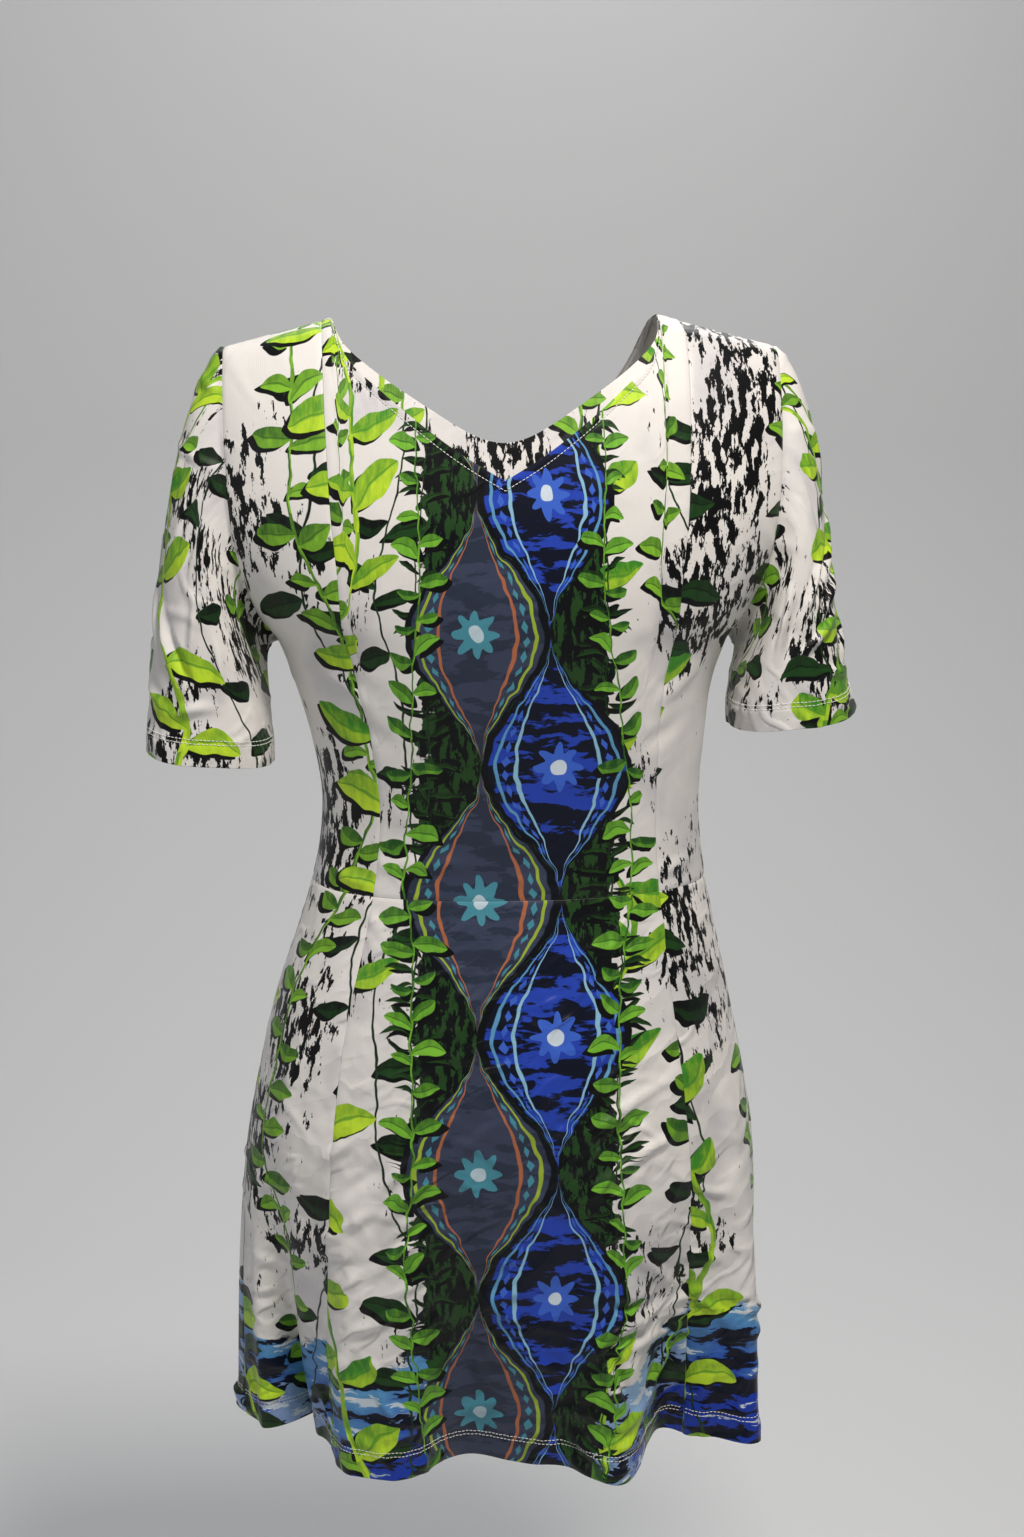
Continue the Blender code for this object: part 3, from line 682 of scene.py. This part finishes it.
# layers: colours of the brush marks, rim, outer and inner line, beads, petals and heart
Chain = namedtuple("Chain", "centre phase ground layers")
CHAINS = [
    Chain(-MEDALLION_HALF / 2, 0.0, "#3C4359",
          ("#2E3547", "#0A0D14", "#9DB53A", "#B06A48", "#4A8FA0", "#4A8FA0", "#BFD3DC")),
    Chain(MEDALLION_HALF / 2, 0.5, "#0C1124",
          ("#2745B2", "#090B10", "#5F9BC4", "#8FC0DA", "#3E66CC", "#3E66CC", "#D3E0EA")),
]
LINE_PLACES = (0.20, 0.46)
LINE_FADES, RIM_FADES, HEART_FADES = (0.030, 0.020), (0.11, 0.09), (0.0060, 0.0055)
for chain in CHAINS:
    ogee = add(
        "Group", drawn, chain.centre, chain.phase, MEDALLION_HALF, MEDALLION_HEIGHT,
        node_tree=ogee_motif,
    ).outputs
    beside = [add("ABSOLUTE", add("SUBTRACT", ogee["Inset"], at)) for at in LINE_PLACES]
    masks = (
        add("MapRange", streaks, 0.50, 0.54), add("MapRange", ogee["Inset"], *RIM_FADES),
        *(add("MapRange", line, *LINE_FADES) for line in beside), ogee["Bead"],
        ogee["Petal"], add("MapRange", ogee["Radius"], *HEART_FADES),
    )
    enamel = chain.ground
    for mask, layer in zip(masks, chain.layers):
        enamel = add("Mix.RGBA", mask, enamel, layer)
    colour = add("Mix.RGBA", ogee["Inside"], colour, enamel)

# Small leaves over the edges of the chains
colour = grow_garland(
    Stems((0.0, 0.0), 0.160, 0.027, 0.027, 0.24, 0.0010, 0.004, 0.92, 5, "#24521F", "#7CBF38"),
    colour,
)
add("NodeGroupOutput", colour)

# Viscose jersey: a fine, close knit with a slight satin gloss and a little fuzz. Its wales are
# about 0.6 mm apart and are drawn 1.5 mm apart here, so that they show at all.
JERSEY_FINISH = {"Roughness": 0.42, "Specular IOR Level": 0.22, "Sheen Weight": 0.04}
WALES_APART, SLUB_SCALE, KNIT_DEPTH = 0.0015, 420.0, 0.00012
# Crush: creases too fine for the sheet itself, in thin crests a centimetre or two apart that
# rise to the right, here and there; it and the folds are fainter on the upper bodice
CRUSH_SLANT, CRUSH_STRETCH, CRUSH_SCALE, CRUSH_DEPTH = radians(-34), 0.45, 48.0, 0.0014
LOOSE_FROM, LOOSE_FULL, LOOSE_LEAST = 0.02, -0.10, 0.15
# Sharp folds between flat facets, about 40 mm from one to the next
FOLD_SCALE, FOLD_BEND, FOLD_DEPTH = 26.0, 0.030, 0.0042


def knit(name, colour_of):
    """Material of the jersey; colour_of links its colour, from the print's."""
    material, add, shader = new_material(name, JERSEY_FINISH)
    link = material.node_tree.links.new
    flat_cloth = add("UVMap", uv_map="cut")
    printed = add("Group", flat_cloth, node_tree=jersey_print)
    link(colour_of(add, printed.outputs[0]), shader.inputs["Base Color"])
    place = add("SeparateXYZ", flat_cloth).outputs
    wale = add("SINE", add("MULTIPLY", place["X"], 2 * pi / WALES_APART))
    slub = add("TexNoise.2D", flat_cloth, SLUB_SCALE, 2.0)
    thread = add("MULTIPLY_ADD", wale, 0.4, slub)
    slanted = add("VectorRotate.Z_AXIS", flat_cloth, None, CRUSH_SLANT)
    slanted = add("VectorMath.MULTIPLY", slanted, (CRUSH_STRETCH, 1.0, 1.0))
    crest = add("TexNoise.2D", slanted, CRUSH_SCALE, 1.0)
    crest = add("ABSOLUTE", add("SUBTRACT", crest, 0.5))
    crest = add("MapRange", crest, 0.16, 0.0, interpolation_type="SMOOTHERSTEP")
    patch = add("MapRange", add("TexNoise.2D", flat_cloth, 13.0, 1.0), 0.42, 0.62)
    loose = add("MapRange", place["Y"], LOOSE_FROM, LOOSE_FULL, LOOSE_LEAST, 1.0)
    crush = add("MULTIPLY", crest, add("MULTIPLY", patch, loose))
    bent = add("TexNoise.2D", flat_cloth, FOLD_SCALE, 2.0).outputs["Color"]
    bent = add("VectorMath.MULTIPLY_ADD", bent, (FOLD_BEND, FOLD_BEND, 0.0), slanted)
    facet = add("MULTIPLY", add("TexVoronoi.2D", bent, FOLD_SCALE, 0.0), loose)
    relief = add("Bump", 1.0, FOLD_DEPTH, None, facet)
    relief = add("Bump", 1.0, CRUSH_DEPTH, None, crush, relief)
    relief = add("Bump", 0.5, KNIT_DEPTH, None, thread, relief)
    link(relief.outputs[0], shader.inputs["Normal"])
    return material


printed_jersey = knit("printed viscose jersey", lambda add, printed: printed)
# The wrong side, which the dye reaches only faintly
SHOW_THROUGH = 0.80
jersey_inside = knit(
    "wrong side of the jersey",
    lambda add, printed: add("Mix.RGBA", SHOW_THROUGH, printed, "#DAD7D3").outputs["Result"],
)
# Polyester thread: the light and shade of its two twisted plies is painted into its colour,
# as a faint light and dark along each stitch
PLY_SCALE = 900.0
sewing_thread, add, shader = new_material("white polyester sewing thread", {"Roughness": 0.45})
# painted shade and light of the twist, mixed into the thread's white
painted_ply_shade = add("TexNoise", add("NewGeometry").outputs["Position"], PLY_SCALE, 1.0)
painted_ply_shade = add("Mix.RGBA", painted_ply_shade, "#DEDBD6", "#FAF9F6").outputs["Result"]
sewing_thread.node_tree.links.new(painted_ply_shade, shader.inputs["Base Color"])

# Neck edges: half width against height, from the centre out to the shoulder seam
NECK_SHIFT = -0.005
NECK_CORNER = (118, 1)
NeckPoint = namedtuple("NeckPoint", "half height")
BACK_V = in_metres(
    NeckPoint, 2, (0, -110), (27, -94), (56, -73), (85, -49), (108, -27), NECK_CORNER
)
NECK_SAMPLES, SEARCH_ROUNDS = 300, 30
ABOVE_ALL = 1.0


def at_section(place):
    """Straight end of a panel: all its columns run to one section of the figure."""
    return lambda left, right, shares: np.full_like(shares, place)


def at_neck(edge):
    """Curved end of a panel: where each column meets this neck edge, or else the ridge."""
    curve = read_rows(edge, np.linspace(0, len(edge) - 1, NECK_SAMPLES))

    def places(left, right, shares):
        low, high = np.zeros_like(shares), np.full_like(shares, float(UNDERARM))
        for _ in range(SEARCH_ROUNDS):
            middle = (low + high) / 2
            points = section_points(left(middle) + (right(middle) - left(middle)) * shares, middle)
            half = np.abs(points[:, 0] - NECK_SHIFT)
            inside = points[:, 2] > np.interp(half, curve[:, 0], curve[:, 1], right=ABOVE_ALL)
            low, high = np.where(inside, middle, low), np.where(inside, high, middle)
        return low

    return places


# How the edges of a panel are finished. A seam rolls in; a turned edge is thicker down to its
# stitching and dips along each row of it. All in metres from the edge.
Edge = namedtuple("Edge", "turned lift rows")
SEAM = Edge(turned=0.0, lift=0.0, rows=())
NECK_EDGE = Edge(turned=0.0085, lift=0.0005, rows=(0.0070,))
SEAM_DIP, SEAM_ROLL = 0.0006, 0.0018
STITCH_DIP, STITCH_ROLL = 0.0006, 0.0010
PUCKER_HEIGHT, PUCKER_PITCH, PUCKER_REACH = 0.0004, 0.0095, 0.0065
EDGE_STEPS = (0.0, 0.0007, 0.0016, 0.0028, 0.0048)
GRID_STEP = 0.0025
CLOTH_SHOWN = 0.0008


def edge_relief(edge, distance, along):
    """How far an edge's finish lifts the cloth, by the distance in from it and the way along it."""
    if not edge.rows:
        return -SEAM_DIP * np.exp(-(distance / SEAM_ROLL) ** 2)
    relief = edge.lift * np.clip((edge.turned - distance) / STITCH_ROLL, 0, 1)
    for row in edge.rows:
        relief -= STITCH_DIP * np.exp(-((distance - row) / STITCH_ROLL) ** 2)
    # The puckers wander, so that no two of them are alike
    wave = np.sin(2 * pi * along / PUCKER_PITCH + 2.2 * np.sin(along * 41) + 1.3 * np.sin(along * 97))
    return relief + PUCKER_HEIGHT * wave * bump((distance - edge.rows[0]) / PUCKER_REACH / 2)


def fine_shares(length):
    """Shares along a length: close together at both ends, even between."""
    ends = np.array(EDGE_STEPS) / length
    inner = np.linspace(ends[-1], 1 - ends[-1], max(round(length / GRID_STEP), 3))
    return np.concatenate([ends[:-1], inner, 1 - ends[-2::-1]])


def walked(points, axis):
    """Lengths along the rows or columns of a grid of points, from its first one."""
    steps = np.linalg.norm(np.diff(points, axis=axis), axis=-1)
    start = np.zeros_like(np.take(steps, [0], axis=axis))
    return np.concatenate([start, np.cumsum(steps, axis=axis)], axis=axis)


# A panel of the dress. left, right: seams, as functions from places to angles; top, bottom:
# functions for the places of its ends; print_at: where on the print it is cut, across and up;
# edges: finish of its top, bottom, left and right edges
Panel = namedtuple("Panel", "left right top bottom print_at edges")
FIGURE_SAMPLES = 1600


def panel_points(panel, inset=0.0):
    """Grid of outer points of a panel, and the grid of its print coordinates."""
    probe_places = np.linspace(SHOULDER, HEM, FIGURE_SAMPLES)
    middle = (panel.left(probe_places) + panel.right(probe_places)) / 2
    lengths = walked(section_points(middle, probe_places), 0)
    foot = panel.bottom(panel.left, panel.right, np.full(FIGURE_SAMPLES, 0.5))
    round_foot = np.linspace(panel.left(foot)[0], panel.right(foot)[0], FIGURE_SAMPLES)
    shares = fine_shares(walked(section_points(round_foot, foot), 0)[-1])
    tops, bottoms = (end(panel.left, panel.right, shares) for end in (panel.top, panel.bottom))
    first, last = (np.interp(end, probe_places, lengths) for end in (tops, bottoms))
    rows = fine_shares((last - first).max())[:, None]
    down = first + (last - first) * rows
    places = np.interp(down, lengths, probe_places)
    angles = panel.left(places) + (panel.right(places) - panel.left(places)) * shares
    points = cloth_points(angles, places)
    across, along = walked(points, 1), walked(points, 0)
    relief = np.zeros_like(across)
    for edge, distance, way in zip(
        panel.edges,
        (along, along[-1] - along, across, across[:, -1:] - across),
        (across, across, along, along),
    ):
        if edge is not None:
            relief += edge_relief(edge, distance, way)
    waist = np.interp(WAIST, probe_places, lengths)
    cut = np.stack([
        panel.print_at[0] + across - across[:, shares.size // 2][:, None],
        panel.print_at[1] + waist - down,
    ], axis=-1)
    return points + body_normals(angles, places) * (relief - inset)[..., None], cut


def draw_cloth(name, points, cut):
    """Thin sheet of cloth over a grid of outer points: printed outside, paler inside."""
    index = np.arange(points.shape[0] * points.shape[1]).reshape(points.shape[:2])
    faces = np.stack([index[:-1, :-1], index[1:, :-1], index[1:, 1:], index[:-1, 1:]], axis=-1)
    faces = faces.reshape(-1, 4)
    cloth = put_mesh(name, points.reshape(-1, 3), faces.tolist(), printed_jersey, jersey_inside)
    layer = cloth.data.uv_layers.new(name="cut")
    layer.data.foreach_set("uv", cut.reshape(-1, 2)[faces.reshape(-1)].reshape(-1))
    wall = cloth.modifiers.new("wall of cloth", "SOLIDIFY")
    wall.thickness = CLOTH_SHOWN
    wall.offset = -1
    wall.material_offset = 1
    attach(cloth, "root")
    return cloth


# Topstitching: rows of lockstitches in white polyester thread, 3 mm from stitch to stitch. The
# thread is drawn twice as thick as the real 0.3 mm, or it would be lost in the picture.
STITCH_PITCH, STITCH_LENGTH = 0.0030, 0.0023
THREAD_RADIUS, THREAD_SIDES = 0.00030, 6
STITCH_PROFILE = ((-0.50, -0.2, 0.5), (-0.30, 0.9, 1.0), (0.30, 0.9, 1.0), (0.50, -0.2, 0.5))


def grid_normals(points):
    """Directions that face out of a grid of points."""
    return unit(np.cross(np.gradient(points, axis=0), np.gradient(points, axis=1)))


def read_along(way, values, places):
    """Rows of some values, read at places along the way that they follow."""
    return np.stack([np.interp(places, way, column) for column in values.T], axis=-1)


def stitch_row(points, distance):
    """Where a row of stitches runs on a grid: its points and normals, this far from the last row.

    A distance below 0 is measured from the first row instead.
    """
    normals = grid_normals(points)
    path, facing = [], []
    for column, way in enumerate(walked(points, 0).T):
        place = way[-1] - distance if distance > 0 else -distance
        path.append(read_along(way, points[:, column], place))
        facing.append(read_along(way, normals[:, column], place))
    return np.array(path), unit(np.array(facing))


def draw_stitches(name, rows):
    """One mesh of all the stitches along some rows, each a short bowed bit of thread."""
    corners, faces = [], []
    sides, rings = THREAD_SIDES, len(STITCH_PROFILE)
    stitch_faces = [
        (ring * sides + step, ring * sides + (step + 1) % sides,
         (ring + 1) * sides + (step + 1) % sides, (ring + 1) * sides + step)
        for ring in range(rings - 1) for step in range(sides)
    ] + [tuple(range(sides))[::-1], tuple(range((rings - 1) * sides, rings * sides))]
    for path, facing in rows:
        way = walked(path, 0)
        for place in np.arange(STITCH_PITCH, way[-1] - STITCH_PITCH, STITCH_PITCH):
            ends = (place - STITCH_LENGTH / 2, place, place + STITCH_LENGTH / 2)
            start, middle, end = read_along(way, path, ends)
            up = unit(read_along(way, facing, place))
            side = unit(np.cross(end - start, up))
            faces += [tuple(len(corners) + corner for corner in face) for face in stitch_faces]
            for share, height, girth in STITCH_PROFILE:
                centre = middle + (end - start) * share + up * height * THREAD_RADIUS
                for turn in np.arange(sides) * 2 * pi / sides:
                    reach = side * cos(turn) + up * sin(turn)
                    corners.append(centre + reach * THREAD_RADIUS * girth)
    stitches = put_mesh(name, corners, faces, sewing_thread)
    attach(stitches, "root")
    return stitches


def sew(node_name, grid, stitches=None, rows=(), slot="printed_jersey", **sheet):
    """Draw a piece of the cut from its two grids, with rows of stitches under their own name."""
    cloth = draw_cloth(node_name + "_cloth", *grid)
    if stitches:
        placed = [stitch_row(grid[0], row) for row in rows]
        sheet["with_pieces"] = [draw_stitches(stitches, placed)]
    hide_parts(node_name)


def back_left_seam(places):
    """Princess seam on the left of the back, as angles at places down the figure."""
    return -seam_angles(places)


back_right_seam = seam_angles
back_centre = Panel(
    back_left_seam, back_right_seam, at_neck(BACK_V), at_section(WAIST), (0.0, 0.0),
    (NECK_EDGE, SEAM, SEAM, SEAM),
)
sew(
    "bodice_back_centre", panel_points(back_centre),
    "bodice_back_neck_stitches", [-row for row in NECK_EDGE.rows],
    flat=(0.27, 0.47), area=0.0855, held="draped", rests_on=[],
)


# ==========================================================================================
# The side backs and side fronts of the bodice
# Four panels of the same jersey, each cut from another place of the print, between a princess
# seam and a side seam; above the underarm they end at the armhole, where the sleeve is set in.


def side_line(angle):
    """Straight edge of a panel, at one angle all the way down."""
    return lambda places: np.full_like(places, angle)


def front_right_seam(places):
    """Princess seam on the right of the front."""
    return FRONT - seam_angles(places)


def front_left_seam(places):
    """Princess seam on the left of the front."""
    return FRONT + seam_angles(places)


back_left_side, back_right_side = side_line(-SIDE), side_line(SIDE)
front_right_side, front_left_side = side_line(PAST_SIDE), side_line(2 * FRONT - PAST_SIDE)
BODICE_SIDES = {
    "bodice_back_side_left": (back_left_side, back_left_seam, (0.62, 0.00)),
    "bodice_back_side_right": (back_right_seam, back_right_side, (3.73, 0.00)),
    "bodice_front_side_right": (front_right_side, front_right_seam, (1.86, 0.11)),
    "bodice_front_side_left": (front_left_seam, front_left_side, (2.48, 0.17)),
}
for name, (left, right, print_at) in BODICE_SIDES.items():
    panel = Panel(left, right, at_section(SHOULDER), at_section(WAIST), print_at, (SEAM,) * 4)
    sew(
        name, panel_points(panel), flat=(0.115, 0.47), area=0.0385, held="draped",
        rests_on=["bodice_back_centre_cloth"],
    )


# ==========================================================================================
# The centre front of the bodice
# One panel of the jersey between the front princess seams, with a plain round neck that is
# turned and topstitched as the V of the back is.

FRONT_SCOOP = in_metres(
    NeckPoint, 2, (0, -105), (30, -101), (60, -86), (85, -64), (105, -34), NECK_CORNER
)
front_centre = Panel(
    front_right_seam, front_left_seam, at_neck(FRONT_SCOOP), at_section(WAIST), (3.10, 0.0),
    (NECK_EDGE, SEAM, SEAM, SEAM),
)
sew(
    "bodice_front_centre", panel_points(front_centre),
    "bodice_front_neck_stitches", [-row for row in NECK_EDGE.rows],
    flat=(0.27, 0.47), area=0.0845, held="draped", rests_on=["bodice_back_centre_cloth"],
)


# ==========================================================================================
# The facing of the back neck
# A band of the printed jersey, face up inside the neck: it stands above the V, lies against
# the centre back from there down, and its lower edge is left loose.

FACING_EDGE = in_metres(
    NeckPoint, 2, (0, -84), (15, -81), (35, -71), (75, -45), (98, -28), (112, -14), NECK_CORNER
)
# Lower edge of the band: the V moved 26 mm down across its slope
FACING_FOOT = in_metres(
    NeckPoint, 2, (0, -136), (42.2, -118), (71, -97), (103, -72), (130, -40), (142.5, -8)
)
FACING_INSET = 0.0017
neck_band = back_centre._replace(
    top=at_neck(FACING_EDGE), bottom=at_neck(FACING_FOOT), print_at=(3.72, 0.0),
    edges=(None, None, SEAM, SEAM),
)
sew(
    "neck_facing", panel_points(neck_band, FACING_INSET), slot="facing_jersey",
    flat=(0.27, 0.15), area=0.0145, held="draped", rests_on=["bodice_back_centre_cloth"],
)


# ==========================================================================================
# The sleeves
# Short set-in sleeves of the jersey, one seam each under the arm, sewn round the armhole and
# left hanging as tubes; their hems are turned once and stitched with a twin needle.

# How the cloth leaves the armhole and comes down to the hem, over the shoulder and at the armpit
Fall = namedtuple("Fall", "reach drop tuck lift")
ARMPIT = Fall(reach=0.014, drop=0.002, tuck=0.002, lift=0.040)
ELBOW_FULLNESS = 0.010
SLEEVE_ROUNDNESS = 2.7
SEAM_STRIP = 0.003
SLEEVE_HEM = Edge(turned=0.0215, lift=0.0005, rows=(0.0170, 0.0200))
RING_SAMPLES, FALL_SAMPLES = 500, 90
CREASES_START = 0.012
SLEEVE_CRUMPLE = Crumple(0.0024, 0.034, 4.6)

# height: of the hem's lowest point, at the body; outer, inner: how far out its two folds hang;
# rise: of its outer fold; back, front: half its depth; cap: fall over the shoulder, where the
# outer fold of the right sleeve hangs further in above its hem; creases: x round from the outer
# fold towards the body, on the back, z up from the hem, and lean in degrees up towards the body
Sleeve = namedtuple(
    "Sleeve", "name side height outer inner rise back front cap print_at creases"
)
SLEEVES = [
    Sleeve("sleeve_left", -1, -0.323, 0.264, 0.171, 0.010, 0.060, 0.050, Fall(
        reach=0.035, drop=0.034, tuck=0.008, lift=0.122
    ), (4.42, -0.05), in_metres(
        Crease, 6,
        (40, 210, 90, 7.2, 2.5, 4, 72), (76, 180, 80, 7.2, -2.5, 3, 66),
        (100, 150, 70, 6.7, 2.8, 3, 60), (26, 98, 78, 6.3, 3.5, 7, -64),
        (48, 86, 90, 6.3, 4.1, 8, -62), (68, 74, 70, 5.4, -3.1, 6, -56),
        (86, 100, 76, 6.3, 3.5, -5, 74), (106, 70, 66, 5.9, 3.1, -4, 80),
        (36, 44, 64, 5.4, 2.8, 3, -22), (80, 38, 56, 4.9, 2.8, 3, 16),
        (-50, 150, 80, 6.7, 3.1, 5, 62), (-80, 100, 70, 6.3, 3.1, 5, -60),
        (-40, 70, 60, 5.9, 3, 3, 30), (-110, 120, 60, 6.3, 2.8, 3, -70),
    )),
    Sleeve("sleeve_right", 1, -0.302, 0.265, 0.173, 0.012, 0.060, 0.050, Fall(
        reach=0.036, drop=0.034, tuck=0.032, lift=0.122
    ), (2.10, -0.05), in_metres(
        Crease, 6,
        (0, 0, 70, 24, 4.5, 0, 90), (36, 200, 90, 7.2, 2.5, 4, 70),
        (78, 165, 80, 7.2, -2.8, 3, 64), (30, 130, 84, 6.3, 3.7, 6, -50),
        (52, 116, 80, 5.9, -3.5, 5, -44), (46, 92, 90, 5.9, 4.3, 7, -38),
        (78, 104, 70, 5.9, 3.7, 4, -60), (66, 64, 78, 5.4, 4.1, 5, -28),
        (26, 58, 60, 5.4, 3.5, 3, -68), (104, 74, 72, 6.7, -4.7, 3, 86),
        (118, 80, 64, 5.9, 3.5, 3, 82), (50, 34, 60, 4.9, 2.8, 3, 12),
        (-56, 140, 80, 6.7, 3.1, 5, 58), (-76, 94, 72, 6.3, 3.1, 5, -56),
        (-44, 64, 58, 5.9, 3, 3, 34),
    )),
]


def flattened(values):
    """Sine or cosine of a hem opening, squared off a little as a flat-hanging sleeve is."""
    return np.abs(values) ** (2 / SLEEVE_ROUNDNESS) * np.sign(values)


def sleeve_points(sleeve):
    """Grid of outer points of a sleeve, from the armhole down to its hem, and its print grid."""
    # Round the armhole, from the underarm up one face and down the other
    up = np.linspace(UNDERARM, SHOULDER, RING_SAMPLES)
    ring_places = np.concatenate([up, up[-2::-1]])
    first_half = np.arange(ring_places.size) < RING_SAMPLES
    behind = first_half if sleeve.side > 0 else ~first_half
    ring_angles = sleeve.side * np.where(behind, SIDE, PAST_SIDE)
    edge = section_points(ring_angles, ring_places)
    length = walked(edge, 0)
    over = length[RING_SAMPLES - 1]
    turn = np.where(
        first_half, pi - pi * length / over, pi * (length - over) / (length[-1] - over)
    )
    normals = body_normals(ring_angles, ring_places)
    dip = cloth_points(ring_angles, ring_places) - normals * SEAM_DIP - edge
    steps = np.linspace(0, length[-1], round(length[-1] / GRID_STEP) + 1)
    edge, normals, dip, table = (
        read_along(length, values, steps)
        for values in (edge, normals, dip, np.stack([turn, behind], axis=-1))
    )
    turn, behind = table[:, 0], table[:, 1] > 0.5

    # Down each column: flush out of the armhole, over in a smooth curve, and down to the hem
    along = np.gradient(edge, axis=0)
    along[0] = along[-1] = edge[1] - edge[-2]
    flush = unit(np.cross(along, normals))
    flush *= np.where(flush @ np.array([sleeve.side, 0, 1]) < 0, -1, 1)[:, None]
    leave = edge + flush * SEAM_STRIP
    high = (1 + np.cos(turn)) / 2
    middle, half = (sleeve.outer + sleeve.inner) / 2, (sleeve.outer - sleeve.inner) / 2
    end = np.stack([
        sleeve.side * (middle + half * flattened(np.cos(turn))),
        np.where(behind, -sleeve.back, sleeve.front) * flattened(np.sin(turn)),
        sleeve.height + sleeve.rise * high,
    ], axis=-1)
    reach, drop, tuck, lift = (low + (top - low) * high for low, top in zip(ARMPIT, sleeve.cap))
    full = np.where(behind, -ELBOW_FULLNESS, ELBOW_FULLNESS) * np.sin(turn)
    leaving = leave + np.stack([sleeve.side * reach, full, -drop], axis=-1)
    coming = end + np.stack([-sleeve.side * tuck, full / 2, lift], axis=-1)
    part = np.linspace(0, 1, FALL_SAMPLES)[:, None, None]
    fall = (
        leave * (1 - part) ** 3 + leaving * 3 * part * (1 - part) ** 2
        + coming * 3 * part ** 2 * (1 - part) + end * part ** 3
    )
    fall = np.concatenate([edge[None], fall])
    down = walked(fall, 0)
    shares = fine_shares(down[-1].max())
    grid = np.stack([
        read_along(down[:, column], fall[:, column], shares * down[-1, column])
        for column in range(turn.size)
    ], axis=1)

    # The creases, the crumple and the seams on that form
    down, across = walked(grid, 0), walked(grid, 1)
    normals = grid_normals(grid)
    normals[:, 0] = normals[:, -1] = unit(normals[:, 0] + normals[:, -1])
    around = -sleeve.side * (across - across[:, np.argmin(turn)][:, None])
    above_hem = down[-1] - down
    height = crease_heights(around, above_hem, sleeve.creases)
    height += crumple_heights(grid, SLEEVE_CRUMPLE)
    height *= np.clip(down / CREASES_START, 0, 1)
    height += edge_relief(SLEEVE_HEM, above_hem, across)
    height += edge_relief(SEAM, across, down) + edge_relief(SEAM, across[:, -1:] - across, down)
    grid += normals * height[..., None] + dip * np.exp(-(down / SEAM_ROLL) ** 2)[..., None]
    start = sleeve.print_at
    return grid, np.stack([start[0] + around, start[1] + above_hem], axis=-1)


for sleeve in SLEEVES:
    sew(
        sleeve.name, sleeve_points(sleeve), sleeve.name + "_hem_stitches", SLEEVE_HEM.rows,
        flat=(0.40, 0.27), area=0.062, held="hung", rests_on=["bodice_back_centre_cloth"],
    )


# ==========================================================================================
# The skirt
# Six flared gores of the jersey that continue the panels of the bodice below the waist seam and
# fall in loose flutes; the hem is turned once and stitched with a twin needle.

SKIRT_HEM = Edge(turned=0.0235, lift=0.0005, rows=(0.0185, 0.0215))
SKIRT_LENGTH = 0.45
Gore = namedtuple("Gore", "piece left right print_at width area")
SKIRT = [
    Gore("back_centre", back_left_seam, back_right_seam, (0.0, 0.0), 0.34, 0.127),
    Gore("back_side_left", back_left_side, back_left_seam, (5.60, 0.0), 0.14, 0.051),
    Gore("back_side_right", back_right_seam, back_right_side, (6.22, 0.0), 0.14, 0.051),
    Gore("front_side_right", front_right_side, front_right_seam, (6.84, 0.0), 0.14, 0.052),
    Gore("front_side_left", front_left_seam, front_left_side, (7.46, 0.0), 0.14, 0.052),
    Gore("front_centre", front_right_seam, front_left_seam, (3.10, 0.0), 0.34, 0.126),
]
for gore in SKIRT:
    panel = Panel(
        gore.left, gore.right, at_section(WAIST), at_section(HEM), gore.print_at,
        (SEAM, SKIRT_HEM, SEAM, SEAM),
    )
    name = "skirt_" + gore.piece
    sew(
        name, panel_points(panel), name + "_hem_stitches", SKIRT_HEM.rows,
        flat=(gore.width, SKIRT_LENGTH), area=gore.area, held="hung",
        rests_on=["bodice_" + gore.piece + "_cloth"],
    )
